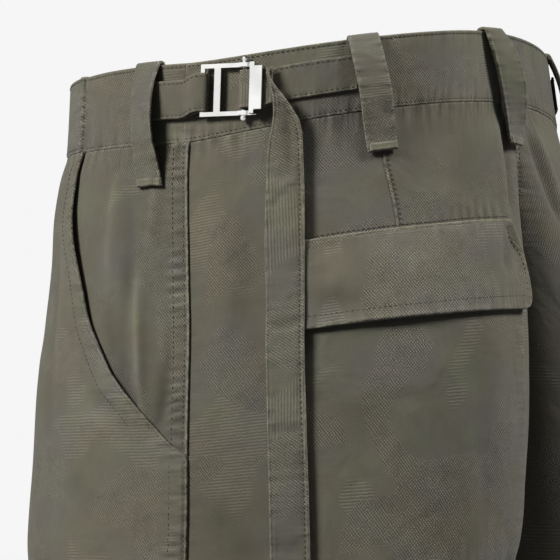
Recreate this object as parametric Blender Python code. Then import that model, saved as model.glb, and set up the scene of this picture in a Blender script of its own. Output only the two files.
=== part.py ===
"""Bermuda shorts with a strap and buckle on each hip, filled out as if worn.

All cloth is cut from one form: level half sections of the left side, from the
waistband down to the hem. A place on the form is given by its arc from the side
seam (towards the back positive), its drop below the waist seam and its lift
off the form. The right side is the left side mirrored. +X is the wearer's left
and +Y the back; the origin is the centre of the waist opening, at half the
height of the waistband on the sides.
"""
import bpy
import numpy as np
from math import asin, pi

# ------------------------------------------------------------------ driving dimensions, metres
MM = 0.001
GAP = 0.3 * MM                    # between neighbouring pieces
CLOTH = 1.5 * MM                  # wall of a single panel
BAND_WALL = 2.2 * MM              # waistband, doubled
BAND_HEIGHT = 47 * MM
BAND_LIFT = 0.7 * MM              # the band stands this much prouder than the panels
FRONT_LIFT = CLOTH + 2.5 * GAP    # the front panel laps over the pocket facing
OUTSEAM = 510 * MM                # waist seam to hem
SEAM_ARC = 4.5 * MM               # the front panel laps this far over the side seam
RISE_AT_SEAM = 28.5 * MM          # how much higher the waist seam runs at the back
RISE_AT_TOP = 24 * MM
FRONT_DIP = 5 * MM                # how much the top edge dips at the middle of the front
RISE_FADES = 100 * MM             # drops between which the rings become level again
RISE_ENDS = 350 * MM

# Half sections: drop below the waist seam, then half widths and depths.
# hip: widest x. front/seat: x and depth of the fullest place. fly/cleft: depth on the
# middle line. *_square: 2 is an ellipse, more is boxier. leg_gap: x of the inseam.
# seam_back: how far the side seam lies behind the widest place.
SECTION_COLUMNS = ("drop", "hip", "front_x", "front", "fly", "seat_x", "seat", "cleft",
                   "front_square", "back_square", "leg_gap", "seam_back")
SECTIONS_MM = (
    (-50, 147.5, 0, 138.5, 138.5, 0, 130.5, 130.5, 2.15, 2.48, 0, 0),
    (0, 151.0, 0, 140.5, 140.5, 0, 135.5, 135.5, 2.15, 2.58, 0, 0),
    (14, 154.0, 4, 144.0, 144.0, 10, 138.0, 137.0, 2.15, 2.52, 0, 1),
    (35, 159.0, 10, 145.0, 145.0, 26, 143.0, 138.5, 2.15, 2.40, 0, 4),
    (70, 168.0, 20, 138.0, 137.5, 38, 153.0, 137.0, 2.20, 2.30, 0, 10),
    (110, 177.0, 35, 132.5, 131.0, 48, 162.0, 131.5, 2.25, 2.25, 0, 16),
    (150, 185.0, 50, 128.0, 123.0, 56, 167.0, 121.0, 2.30, 2.30, 0, 20),
    (190, 191.0, 65, 124.5, 111.5, 64, 170.0, 104.0, 2.30, 2.30, 0, 23),
    (225, 195.0, 78, 122.5, 91.0, 74, 171.0, 82.0, 2.30, 2.30, 0, 25),
    (250, 197.5, 90, 121.0, 66.0, 86, 170.0, 58.0, 2.30, 2.30, 0, 26),
    (260, 198.5, 97, 121.0, 40.0, 93, 169.0, 36.0, 2.30, 2.30, 0, 26),
    (265, 199.0, 100, 120.5, 0.0, 97, 168.0, 0.0, 2.30, 2.30, 0, 26),
    (310, 201.5, 104, 118.0, 0.0, 103, 163.0, 0.0, 2.25, 2.25, 6, 26),
    (400, 206.0, 110, 113.0, 0.0, 110, 150.0, 0.0, 2.15, 2.15, 12, 25),
    (510, 211.0, 114, 108.0, 0.0, 114, 137.0, 0.0, 2.10, 2.10, 18, 24),
)

# Lines on which the form is folded flat between: drops, and arcs from the side seam.
# Past the last arc the lines share what is left up to the middle or the inseam.
DROP_LINES_MM = (-47, -31, -15, 0, 16, 34, 52, 70, 88, 106, 122, 142, 162, 180, 202, 225,
                 242, 254, 261, 265, 284, 314, 360, 410, 460, 510)
FRONT_ARCS_MM = (0, -22, -44, -66, -90, -116)
BACK_ARCS_MM = (0, 25, 50, 75, 100, 125, 150, 175, 200, 222)
FRONT_SHARES = (0.2, 0.4, 0.6, 0.8, 1.0)
BACK_SHARES = (0.25, 0.5, 0.75, 1.0)

# Curved mouth of the front pocket, on the front panel's edge.
POCKET_MOUTH_MM = (  # drop, arc
    (0, -87.5), (14, -90), (28, -90), (53, -85), (83, -74), (101, -67.5), (111, -61.5),
    (121, -55), (131, -48), (141, -39.5), (150, -30.5), (159, -21.5), (169, -11.5),
    (177, -2.5), (182, 4.5))
MOUTH_END = POCKET_MOUTH_MM[-1][0] * MM
MOUTH_ROWS = (14 * MM, 28 * MM, 169 * MM)    # extra rows that follow the mouth's curve
POCKET_UNDERLAP = 16 * MM
MOUTH_GAPE = 2.4 * MM             # the mouth's edge stands off the facing
MOUTH_GAPE_DROPS = (5 * MM, 50 * MM, 120 * MM)
MOUTH_GAPE_REACH = 22 * MM

# Back pocket and its flap: arcs of the two side edges at each drop.
POCKET_WALL = 1.4 * MM
BACK_POCKET_MM = (  # drop, towards the side, towards the middle
    (76, 66, 219), (122, 64, 222), (225, 64, 226), (242, 67, 223), (254, 78, 210))
FLAP_WALL = 1.6 * MM
FLAP_MM = (  # drop, towards the side, towards the middle, lift of its outer face
    (70.5, 72, 214, 2.1), (75, 70.7, 215.5, 4.1), (106, 62, 227, 5.2), (114, 61, 228, 5.5),
    (120, 65, 224, 5.8), (121.5, 69, 220, 5.9))

# Belt loops: arc at the top edge and at the sewn lower end, how far they bow out, and how
# much higher the back edge of the bow stands than its middle. The centre loop leans, with
# its arcs counted from the middle of the back, and the loops stand equally far from it.
LOOP_WIDTH = 18 * MM
LOOP_WALL = 1.8 * MM
LOOP_END_DROP = 25 * MM
CENTRE_LOOP_SEAT = 1.4 * MM       # extra height, clear of the bend in the middle of the band
LOOPS_MM = {
    "front_left": (-26, -21, 7.6, 3.0),
    "front_right": (-26, -21, 7.6, 3.0),
    "back_left": (106, 120, 5.5, 0),
    "back_right": (140, 138, 5.5, 0),
    "centre": (-20, -9, 6, 0),
}
LOOP_PATH = (  # share of the height, share of the bow
    (0.00, 0.00), (0.05, 0.42), (0.14, 0.72), (0.30, 0.95), (0.48, 1.00), (0.66, 0.84),
    (0.80, 0.48), (0.90, 0.12), (0.95, 0.00), (1.00, 0.00))

# Straps and buckle of the side adjuster. The buckle is flat and hangs level.
STRAP_WALL = 1.6 * MM
STRAP_SEAT = BAND_LIFT + GAP + 0.4 * MM    # lift of the straps' lower face on the band
SHORT_STRAP_WIDTH = 22.5 * MM
SHORT_STRAP_START = -36 * MM
SHORT_STRAP_DROP = -25.3 * MM     # middle lines of the straps
LONG_STRAP_WIDTH = 22 * MM
LONG_STRAP_STARTS = {"left": 104 * MM, "right": 138 * MM}
LONG_STRAP_DROP = -25.0 * MM
LONG_STRAP_LEVEL = 62 * MM        # arc in front of which the long strap runs to the buckle
LONG_STRAP_END = 57 * MM          # its turned-back layer, under the hanging tail
FLAT_BLEND = 14 * MM              # run in which the straps leave the flat of the buckle
FRAME_DROP = -26.3 * MM           # the buckle's middle line
FRAME_START = 12.9 * MM           # arc of the buckle's front end
FRAME_LENGTH = 35.3 * MM
FRAME_HEIGHT = 30.4 * MM
FRAME_LIFT = 3.4 * MM
FRAME_WALL = 2.0 * MM
RAIL = 2.5 * MM                   # top and bottom rails and front bar
MIDDLE_BAR = (8.5 * MM, 12.5 * MM)
PIN_ARC = 39.9 * MM
PIN_RADIUS = 1.1 * MM
PIN_RISE = 0.5 * MM               # the loose pin sits a little above the middle
PIN_LIFT = FRAME_LIFT + FRAME_WALL / 2
KNOB_RADIUS = 1.8 * MM
EYE = 5.0 * MM                    # square boss of the rail around the pin
PLATE_ARCS = (45.1 * MM, 48.2 * MM, 53.0 * MM)    # its bar on the rails, then its blade
PLATE_BAR_HEIGHT = 30 * MM
PLATE_BLADE_HEIGHT = 25.4 * MM
PLATE_WALL = 1.8 * MM
FOOT = 2.1 * MM
TAIL_WALL = 1.6 * MM
TAIL_MM = (  # drop, edge towards the front, edge towards the back, lift of its outer face
    (-34.5, 53.5, 54.3, 10.8), (-31, 53.7, 55.0, 10.8), (-25, 55.4, 57.6, 10.8),
    (-14, 57.8, 64.5, 10.7), (-6, 58.3, 69.0, 9.8), (3, 57.8, 73.2, 8.7),
    (14, 56.0, 75.0, 7.6), (34, 54.2, 75.2, 6.2), (75, 52.0, 74.0, 6.3),
    (106, 52.0, 73.2, 7.3), (122, 52.0, 73.2, 8.2), (140, 52.4, 73.6, 6.4),
    (170, 53.2, 74.6, 4.4), (225, 54.8, 76.6, 3.9), (290, 56.4, 78.6, 3.9))

BAND_LAP = 25 * MM                # the left band's end passes the middle line
BUTTON_RADIUS = 8.5 * MM
BUTTON_WALL = 2.4 * MM

# Largest soft folds: from (drop, arc) to (drop, arc), half width, height off the form.
FOLD_FADE = 0.4                   # share of a fold's length in which either end fades out
FOLD_COLUMNS = ("drop", "arc", "end_drop", "end_arc", "half_width", "height")
FOLDS_MM = (
    (40, -132, 300, -118, 26, 3.0),
    (110, -96, 330, -84, 22, -2.2),
    (60, -30, 170, -30, 18, 2.0),
    (190, -50, 620, -72, 34, 5.0),
    (200, 14, 620, 8, 30, 4.0),
    (230, 120, 640, 146, 38, 6.0),
    (240, 60, 620, 72, 28, -4.0),
    (290, -176, 620, -160, 36, 5.0),
    (270, -122, 620, -112, 26, -3.5),
    (280, 222, 640, 232, 34, -4.0),
    (6, 150, 62, 158, 16, -1.6),
    (6, 205, 62, 214, 14, 1.5),
)

COLOURS = {
    "cloth": (0.125, 0.118, 0.088),
    "strap": (0.108, 0.105, 0.088),
    "metal": (0.86, 0.86, 0.85),
    "button": (0.10, 0.095, 0.08),
}


# ------------------------------------------------------------------ the form
def curve_through(xs, ys, x):
    """Smooth curve through the rows that never overshoots them."""
    steps = np.diff(xs)
    slopes = np.diff(ys) / steps
    tangents = np.concatenate([[slopes[0]], (slopes[:-1] + slopes[1:]) / 2, [slopes[-1]]])
    for k in range(1, len(xs) - 1):
        low, high = sorted((abs(slopes[k - 1]), abs(slopes[k])))
        turning = slopes[k - 1] * slopes[k] <= 0
        tangents[k] = 0 if turning else np.sign(slopes[k]) * 2 * low * high / (low + high)
    k = np.clip(np.searchsorted(xs, x) - 1, 0, len(steps) - 1)
    t = (x - xs[k]) / steps[k]
    start = (1 + 2 * t) * (1 - t) ** 2 * ys[k] + t * (1 - t) ** 2 * steps[k] * tangents[k]
    end = t * t * (3 - 2 * t) * ys[k + 1] + t * t * (t - 1) * steps[k] * tangents[k + 1]
    return start + end


def section_at(drop):
    """Every column of SECTIONS_MM at this drop, in metres, squareness as it is."""
    rows = np.array(SECTIONS_MM, dtype=float)
    values = {}
    for index, name in enumerate(SECTION_COLUMNS[1:], start=1):
        scale = 1.0 if name.endswith("square") else MM
        values[name] = scale * curve_through(rows[:, 0] * MM, rows[:, index], drop)
    return values


def quarter(hip, full_x, full_y, middle_y, square, leg_gap, steps=90):
    """Outline from the widest place over the fullest one to the middle line or inseam."""
    turn = np.linspace(0, pi / 2, steps)
    outer_x = full_x + (hip - full_x) * np.cos(turn) ** (2 / square)
    outer_y = full_y * np.sin(turn) ** (2 / square)
    if full_x <= 0:
        return np.column_stack([outer_x, outer_y])
    share = min(middle_y / full_y, 0.9999)
    reach = (full_x - leg_gap) / (1 - share ** square) ** (1 / square)
    turn = np.linspace(pi / 2, asin(share ** (square / 2)), steps)
    inner_x = full_x - reach * np.cos(turn) ** (2 / square)
    inner_y = full_y * np.sin(turn) ** (2 / square)
    inner = np.column_stack([inner_x, inner_y])[1:]
    return np.concatenate([np.column_stack([outer_x, outer_y]), inner])


def smooth_step(t):
    t = np.clip(t, 0, 1)
    return t * t * (3 - 2 * t)


def rise(x, y, drop):
    """The rings climb from the side seam to the middle of the back, less and less lower down."""
    towards_back = y / np.maximum(np.hypot(x, y), MM)
    backwards = np.clip(towards_back, 0, 1)
    at_seam = RISE_AT_SEAM * backwards ** 1.25
    if drop <= 0:
        at_top = RISE_AT_TOP * backwards ** 1.5 - FRONT_DIP * np.clip(-towards_back, 0, 1) ** 2
        return at_seam + (at_top - at_seam) * -drop / BAND_HEIGHT
    return at_seam * (1 - smooth_step((drop - RISE_FADES) / (RISE_ENDS - RISE_FADES)))


def half_ring(drop):
    """Arcs from the side seam and points of the left half of the section at this drop."""
    v = section_at(drop)
    front = quarter(v["hip"], v["front_x"], v["front"], v["fly"], v["front_square"], v["leg_gap"])
    back = quarter(v["hip"], v["seat_x"], v["seat"], v["cleft"], v["back_square"], v["leg_gap"])
    outline = np.concatenate([(front * (1, -1))[::-1], back[1:]])
    lengths = np.linalg.norm(np.diff(outline, axis=0), axis=1)
    arcs = np.concatenate([[0], np.cumsum(lengths)])
    arcs -= arcs[len(front) - 1] + v["seam_back"]
    x, y = outline.T
    z = -BAND_HEIGHT / 2 - drop + rise(x, y, drop)
    return arcs, np.column_stack([x, y, z])


def on_ring(ring, arcs):
    known, points = ring
    return np.column_stack([np.interp(arcs, known, points[:, axis]) for axis in range(3)])


def fold_relief(arcs, drop):
    """Height of the soft folds above the form."""
    total = np.zeros_like(arcs)
    for row in FOLDS_MM:
        fold = dict(zip(FOLD_COLUMNS, np.array(row) * MM))
        along = (drop - fold["drop"]) / (fold["end_drop"] - fold["drop"])
        middle = fold["arc"] + (fold["end_arc"] - fold["arc"]) * along
        across = np.exp(-((arcs - middle) / fold["half_width"]) ** 2)
        ends = smooth_step(np.minimum(along, 1 - along) / FOLD_FADE)
        total += fold["height"] * across * ends
    return total


def lattice_arcs(ring):
    """Arcs of the form's upright fold lines on this ring, from the front to the back."""
    first, last = ring[0][0], ring[0][-1]
    front = np.array(FRONT_ARCS_MM) * MM
    back = np.array(BACK_ARCS_MM) * MM
    front_rest = front[-1] + (first - front[-1]) * np.array(FRONT_SHARES)
    back_rest = back[-1] + (last - back[-1]) * np.array(BACK_SHARES)
    return np.concatenate([front_rest[::-1], front[::-1], back[1:], back_rest])


def build_lattice():
    """Arcs, points and outward normals of the form on its fold lines."""
    nudge = 1 * MM
    rows = []
    for drop in np.array(DROP_LINES_MM) * MM:
        ring = half_ring(drop)
        arcs = lattice_arcs(ring)
        points = on_ring(ring, arcs)
        along = on_ring(ring, arcs + nudge) - on_ring(ring, arcs - nudge)
        above, below = half_ring(drop - nudge), half_ring(drop + nudge)
        share = arcs / np.where(arcs < 0, -ring[0][0], ring[0][-1])
        down = (on_ring(below, np.where(share < 0, -share * below[0][0], share * below[0][-1]))
                - on_ring(above, np.where(share < 0, -share * above[0][0], share * above[0][-1])))
        normals = np.cross(down, along)
        normals /= np.linalg.norm(normals, axis=1)[:, None]
        points += normals * fold_relief(arcs, drop)[:, None]
        rows.append((drop, arcs, points, normals))
    return rows


LATTICE = build_lattice()
DROP_LINES = np.array(DROP_LINES_MM) * MM


def place(arc, drop, lift):
    """Point of the form, folded flat between its lines, moved out by lift."""
    upper = int(np.clip(np.searchsorted(DROP_LINES, drop) - 1, 0, len(LATTICE) - 2))
    share = (drop - DROP_LINES[upper]) / (DROP_LINES[upper + 1] - DROP_LINES[upper])
    arcs = LATTICE[upper][1] * (1 - share) + LATTICE[upper + 1][1] * share
    past_middle = arc < arcs[0]
    inside = 2 * arcs[0] - arc if past_middle else arc
    line = np.interp(inside, arcs, range(len(arcs)))
    point = np.zeros(3)
    for row, weight in ((LATTICE[upper], 1 - share), (LATTICE[upper + 1], share)):
        moved = row[2] + lift * row[3]
        point += weight * np.array([np.interp(line, range(len(arcs)), c) for c in moved.T])
    point[0] = max(point[0], 0) + GAP / 2
    return point * (-1, 1, 1) if past_middle else point


def front_arc(drop):
    """Arc of the middle line of the front, or of the inseam."""
    return np.interp(drop, DROP_LINES, [row[1][0] for row in LATTICE])


def back_arc(drop):
    return np.interp(drop, DROP_LINES, [row[1][-1] for row in LATTICE])


def edge(table, column):
    """Edge of a piece: the arc, or the lift, that a table gives at each drop."""
    rows = np.array(table) * MM
    return lambda drop: np.interp(drop, rows[:, 0], rows[:, column])


def constant(value):
    return lambda *_: value


# ------------------------------------------------------------------ making solids
def material(slot):
    found = bpy.data.materials.get(slot)
    if found:
        return found
    made = bpy.data.materials.new(slot)
    made.use_nodes = True
    shader = made.node_tree.nodes["Principled BSDF"]
    shader.inputs["Base Color"].default_value = (*COLOURS[slot], 1)
    shader.inputs["Metallic"].default_value = 1.0 if slot == "metal" else 0.0
    shader.inputs["Roughness"].default_value = 0.22 if slot == "metal" else 0.85
    return made


def add_object(name, vertices, faces, slot):
    mesh = bpy.data.meshes.new(name)
    mesh.from_pydata([tuple(map(float, v)) for v in vertices], [], faces)
    piece = bpy.data.objects.new(name, mesh)
    own = material(slot).copy()
    own.name = name
    mesh.materials.append(own)
    bpy.context.scene.collection.objects.link(piece)
    return piece


def mirror(vertices, faces):
    return [(-x, y, z) for x, y, z in vertices], [tuple(reversed(face)) for face in faces]


def add_pair(name, vertices, faces, slot):
    """The piece on the wearer's left, and its mirror image on the right."""
    left = add_object(name + "_left", vertices, faces, slot)
    right = add_object(name + "_right", *mirror(vertices, faces), slot)
    return left, right


def rows_of_sheet(top, bottom, front_edge, back_edge, extra_drops=()):
    """Drop and arcs of each row of a sheet, on the form's own lines and on its edges."""
    clear = 1.2 * MM
    inner = [d for d in (*DROP_LINES, *extra_drops) if top + clear < d < bottom - clear]
    rows = []
    for drop in sorted({top, bottom, *inner}):
        first, last = front_edge(drop), back_edge(drop)
        lines = LATTICE[int(np.argmin(abs(DROP_LINES - drop)))][1]
        lines = [a for a in lines if first + clear < a < last - clear]
        rows.append((drop, [first, *lines, last]))
    return rows


def zip_rows(rows):
    """Triangles between neighbouring rows, facing out, and the outline of them all."""
    starts = np.cumsum([0] + [len(arcs) for _, arcs in rows])
    triangles = []
    for k, ((_, upper), (_, lower)) in enumerate(zip(rows, rows[1:])):
        i = j = 0
        while i < len(upper) - 1 or j < len(lower) - 1:
            a, b = starts[k] + i, starts[k + 1] + j
            upper_done, lower_done = i == len(upper) - 1, j == len(lower) - 1
            if not upper_done and (lower_done or upper[i + 1] <= lower[j + 1]):
                triangles.append((a, b, a + 1))
                i += 1
            else:
                triangles.append((a, b, b + 1))
                j += 1
    counts = [len(arcs) for _, arcs in rows]
    top = list(range(starts[0], starts[0] + counts[0]))
    back = [starts[k] + counts[k] - 1 for k in range(1, len(rows))]
    bottom = list(range(starts[-2] + counts[-1] - 2, starts[-2] - 1, -1))
    front = [starts[k] for k in range(len(rows) - 2, 0, -1)]
    return triangles, top + back + bottom + front


def sheet_solid(rows, lift, wall):
    """Closed solid of a sheet: its outer face lies at lift, its inner one a wall below."""
    triangles, rim = zip_rows(rows)
    triangles = [tuple(int(v) for v in t) for t in triangles]
    spots = [(arc, drop) for drop, arcs in rows for arc in arcs]
    outer = [place(arc, drop, lift(arc, drop)) for arc, drop in spots]
    inner = [place(arc, drop, lift(arc, drop) - wall) for arc, drop in spots]
    count = len(spots)
    faces = triangles + [(c + count, b + count, a + count) for a, b, c in triangles]
    for a, b in zip(rim, rim[1:] + rim[:1]):
        a, b = int(a), int(b)
        faces.append((a, b, b + count, a + count))
    return outer + inner, faces


def ribbon_solid(path, across, width, wall, bend=place, shares=(-1, 1)):
    """Strip along a path of (arc, drop, lift), its width in the direction across."""
    path = np.array(path, dtype=float)
    across = np.array([*across, 0.0]) / np.linalg.norm(across)
    steps = np.diff(path, axis=0)
    steps /= np.linalg.norm(steps, axis=1)[:, None]
    ways = np.concatenate([steps[:1], steps[:-1] + steps[1:], steps[-1:]])
    ways /= np.linalg.norm(ways, axis=1)[:, None]
    around = [(side, -1) for side in shares] + [(side, 1) for side in reversed(shares)]
    count = len(around)
    vertices = []
    for spot, way in zip(path, ways):
        normal = np.cross(across, way)
        for side, face in around:
            corner = spot + across * side * width / 2 + normal * face * wall / 2
            vertices.append(bend(*corner))
    faces = [tuple(reversed(range(count)))]
    for k in range(len(path) - 1):
        for c in range(count):
            n = (c + 1) % count
            here, there = count * k, count * (k + 1)
            faces.append((here + c, here + n, there + n, there + c))
    last = count * (len(path) - 1)
    faces.append(tuple(range(last, last + count)))
    return vertices, faces


# ------------------------------------------------------------------ the cloth
MOUTH = edge(POCKET_MOUTH_MM, 1)


def front_edge_of_side(drop):
    """Edge of the front panel: the pocket's mouth, and below it the side seam."""
    return MOUTH(drop) if drop < MOUTH_END else SEAM_ARC


def towards_middle(arc, start=120 * MM, end=190 * MM):
    """1 on the hip, 0 on the middle line, so that nothing crosses it."""
    return 1 - smooth_step((abs(arc) - start) / (end - start))


def front_lift(arc, drop):
    low, full, high = MOUTH_GAPE_DROPS
    gape = np.interp(drop, (low, full, high), (0, 1, 0))
    near = np.exp(-((arc - front_edge_of_side(drop)) / MOUTH_GAPE_REACH) ** 2)
    return FRONT_LIFT * towards_middle(arc) + MOUTH_GAPE * gape * near


def make_panels():
    just_front = lambda drop: front_edge_of_side(drop) - GAP / 2
    front = rows_of_sheet(GAP / 2, OUTSEAM, lambda drop: front_arc(drop) + GAP, just_front,
                          (*MOUTH_ROWS, MOUTH_END))
    add_pair("front_panel", *sheet_solid(front, front_lift, CLOTH), "cloth")

    behind_mouth = lambda drop: front_edge_of_side(drop) - POCKET_UNDERLAP
    facing = rows_of_sheet(GAP / 2, MOUTH_END - 2 * GAP, behind_mouth,
                           constant(SEAM_ARC - GAP / 2), MOUTH_ROWS[-1:])
    add_pair("pocket_facing", *sheet_solid(facing, constant(0.0), CLOTH), "cloth")

    back = rows_of_sheet(GAP / 2, OUTSEAM, constant(SEAM_ARC + GAP / 2),
                         lambda drop: back_arc(drop) - GAP)
    add_pair("back_panel", *sheet_solid(back, constant(0.0), CLOTH), "cloth")


def make_back_pockets():
    top, bottom = BACK_POCKET_MM[0][0] * MM, BACK_POCKET_MM[-1][0] * MM
    rows = rows_of_sheet(top, bottom, edge(BACK_POCKET_MM, 1), edge(BACK_POCKET_MM, 2),
                         [row[0] * MM for row in BACK_POCKET_MM])
    outer = constant(2 * GAP + POCKET_WALL)
    add_pair("back_pocket", *sheet_solid(rows, outer, POCKET_WALL), "cloth")

    top, bottom = FLAP_MM[0][0] * MM, FLAP_MM[-1][0] * MM
    rows = rows_of_sheet(top, bottom, edge(FLAP_MM, 1), edge(FLAP_MM, 2),
                         [row[0] * MM for row in FLAP_MM])
    lift = edge(FLAP_MM, 3)
    add_pair("back_flap", *sheet_solid(rows, lambda _, drop: lift(drop), FLAP_WALL), "cloth")


def make_waistband():
    lap = POCKET_MOUTH_MM[0][1] * MM
    parts = (("front", front_arc, constant(lap - GAP / 2)),
             ("side", constant(lap + GAP / 2), constant(-GAP / 2)),
             ("back", constant(GAP / 2), back_arc))

    def lift(arc, drop):
        over = FRONT_LIFT if arc <= lap else 0.0
        return BAND_LIFT + over * towards_middle(arc)

    for name, front_edge, back_edge in parts:
        rows = rows_of_sheet(-BAND_HEIGHT, -GAP / 2, front_edge, back_edge)
        vertices, faces = sheet_solid(rows, lift, BAND_WALL)
        if name != "front":
            add_pair("waistband_" + name, vertices, faces, "cloth")
            continue
        # The left end laps past the middle line, and the right end stops short of it.
        past = lambda drop: front_arc(drop) - BAND_LAP
        short = lambda drop: front_arc(drop) + BAND_LAP + GAP
        rows = rows_of_sheet(-BAND_HEIGHT, -GAP / 2, past, back_edge)
        add_object("waistband_front_left", *sheet_solid(rows, lift, BAND_WALL), "cloth")
        rows = rows_of_sheet(-BAND_HEIGHT, -GAP / 2, short, back_edge)
        right = mirror(*sheet_solid(rows, lift, BAND_WALL))
        add_object("waistband_front_right", *right, "cloth")


def loop_path(top_arc, end_arc, bow, seat_lift):
    """From inside the band over its top edge, out in a bow and down to the sewn end."""
    top = -BAND_HEIGHT - 2 * GAP - LOOP_WALL / 2
    inside = BAND_LIFT - BAND_WALL - 2 * GAP - LOOP_WALL / 2
    outside = seat_lift + 2 * GAP + LOOP_WALL / 2
    path = [(top_arc, top + 9 * MM, inside), (top_arc, top + 1.2 * MM, inside),
            (top_arc, top, inside + 1.2 * MM), (top_arc, top, outside - 1.2 * MM),
            (top_arc, top + 1.2 * MM, outside)]
    height = LOOP_END_DROP - top - 3 * MM
    for share, out in LOOP_PATH[1:]:
        drop = top + 3 * MM + share * height
        arc = top_arc + share * (end_arc - top_arc)
        path.append((arc, drop, outside + out * bow))
    return path


def leaning(top_arc, end_arc, tilt):
    """The bow of a loop stands off more at one of its long edges than at the other."""
    top, height = -BAND_HEIGHT, BAND_HEIGHT + LOOP_END_DROP

    def bent(arc, drop, lift):
        share = (drop - top) / height
        middle = top_arc + share * (end_arc - top_arc)
        bow = np.interp(share, *np.transpose(LOOP_PATH)) if lift > 0 else 0.0
        return place(arc, drop, lift + tilt * bow * (arc - middle) / (LOOP_WIDTH / 2))

    return bent


def on_middle(arc, drop, lift):
    """Place whose arc is counted from the middle of the back."""
    point = place(back_arc(drop) - abs(arc), drop, lift)
    return point if arc < 0 else point * (-1, 1, 1)


def make_loops():
    columns = (-1, 0, 1)
    for name, sizes in LOOPS_MM.items():
        top_arc, end_arc, bow, tilt = np.array(sizes) * MM
        centre = name == "centre"
        seat = BAND_LIFT + (CENTRE_LOOP_SEAT if centre else 0)
        bend = on_middle if centre else leaning(top_arc, end_arc, tilt)
        path = loop_path(top_arc, end_arc, bow, seat)
        solid = ribbon_solid(path, (-1, 0), LOOP_WIDTH, LOOP_WALL, bend, columns)
        if name.endswith("right"):
            solid = mirror(*solid)
        add_object("loop_" + name, *solid, "cloth")


# ------------------------------------------------------------------ the side adjuster
def long_strap_drop(arc):
    """Drop of the long strap's middle line: it runs down to the buckle's own."""
    buckle_end = FRAME_START + FRAME_LENGTH
    past = float(smooth_step((arc - buckle_end) / (LONG_STRAP_LEVEL - buckle_end)))
    return FRAME_DROP + (LONG_STRAP_DROP - FRAME_DROP) * past


def hairpin(start, turn, back_to, low, high, drop_at):
    """Path of (arc, drop, lift): along the band, round a bar at turn and back above it."""
    way = 1 if turn > start else -1
    radius = (high - low) / 2
    lines = [a * MM for a in (*FRONT_ARCS_MM, *BACK_ARCS_MM)]
    between = sorted({a for a in lines if min(start, turn) < a < max(start, turn)})
    path = [(start, low)] + [(a, low) for a in between[::way]] + [(turn, low)]
    for angle in np.linspace(0, pi, 7)[1:-1]:
        path.append((turn + way * radius * np.sin(angle), (low + high) / 2
                     - radius * np.cos(angle)))
    path += [(turn, high), (back_to, high)]
    return [(arc, drop_at(arc), lift) for arc, lift in path]


def buckle_axes():
    """Origin on the band under the pin's middle, and the buckle's long, up and out axes."""
    middle = FRAME_START + FRAME_LENGTH / 2
    origin = place(middle, FRAME_DROP, 0)
    along = place(middle + FRAME_LENGTH / 2, FRAME_DROP, 0) - place(FRAME_START, FRAME_DROP, 0)
    along[2] = 0                  # the buckle hangs level
    along /= np.linalg.norm(along)
    down = place(middle, FRAME_DROP + 10 * MM, 0) - origin
    out = np.cross(down, along)
    out /= np.linalg.norm(out)
    return origin, along, np.cross(out, along), out


def buckle_point(arc, up, lift):
    """Place on the flat buckle: arc as on the band, height from its middle line, lift."""
    origin, along, upward, out = buckle_axes()
    middle = FRAME_START + FRAME_LENGTH / 2
    return origin + along * (arc - middle) + upward * up + out * lift


def on_adjuster(arc, drop, lift):
    """The straps follow the band, and lie flat where the buckle holds them."""
    before = (arc - (FRAME_START - FLAT_BLEND)) / FLAT_BLEND
    after = (FRAME_START + FRAME_LENGTH + FLAT_BLEND - arc) / FLAT_BLEND
    flat = float(smooth_step(before) * smooth_step(after))
    curved_spot = place(arc, drop, lift)
    return curved_spot + (buckle_point(arc, FRAME_DROP - drop, lift) - curved_spot) * flat


def strap_solid(path, width):
    return ribbon_solid(path, (0, 1), width, STRAP_WALL, on_adjuster)


def make_straps():
    low = STRAP_SEAT + STRAP_WALL / 2
    high = 2 * PIN_LIFT - low
    bar = FRAME_START + RAIL / 2
    short = hairpin(SHORT_STRAP_START, bar + 0.5 * MM, bar - 10 * MM, low, high,
                    constant(SHORT_STRAP_DROP))
    add_pair("strap_short", *strap_solid(short, SHORT_STRAP_WIDTH), "strap")
    for side, start in LONG_STRAP_STARTS.items():
        path = hairpin(start, PIN_ARC, LONG_STRAP_END, low, high, long_strap_drop)
        long = strap_solid(path, LONG_STRAP_WIDTH)
        if side == "right":
            long = mirror(*long)
        add_object("strap_long_" + side, *long, "strap")

    top, bottom = TAIL_MM[0][0] * MM, TAIL_MM[-1][0] * MM
    rows = rows_of_sheet(top, bottom, edge(TAIL_MM, 1), edge(TAIL_MM, 2),
                         [row[0] * MM for row in TAIL_MM])
    lift = edge(TAIL_MM, 3)
    add_pair("strap_tail", *sheet_solid(rows, lambda _, drop: lift(drop), TAIL_WALL), "strap")


def box_solid(arcs, ups, lifts):
    corners = [(a, u, h) for h in lifts for u in ups for a in arcs]
    vertices = [buckle_point(*corner) for corner in corners]
    faces = [(0, 1, 3, 2), (4, 6, 7, 5), (0, 4, 5, 1), (2, 3, 7, 6), (0, 2, 6, 4), (1, 5, 7, 3)]
    return vertices, [tuple(reversed(face)) for face in faces]


def grid_solid(arc_lines, up_lines, filled, lifts):
    """Plate with windows: the filled cells of a grid, between two lifts."""
    vertices, faces, number = [], [], {}

    def corner(i, j, level):
        key = (i, j, level)
        if key not in number:
            number[key] = len(vertices)
            vertices.append(buckle_point(arc_lines[i], up_lines[j], lifts[level]))
        return number[key]

    for i, j in filled:
        ring = ((i, j), (i + 1, j), (i + 1, j + 1), (i, j + 1))
        faces.append(tuple(corner(*c, 1) for c in ring))
        faces.append(tuple(corner(*c, 0) for c in reversed(ring)))
        sides = ((0, -1), (1, 0), (0, 1), (-1, 0))
        for k, (di, dj) in enumerate(sides):
            if (i + di, j + dj) not in filled:
                a, b = ring[k], ring[(k + 1) % 4]
                faces.append((corner(*a, 0), corner(*b, 0), corner(*b, 1), corner(*a, 1)))
    return vertices, faces


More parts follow.
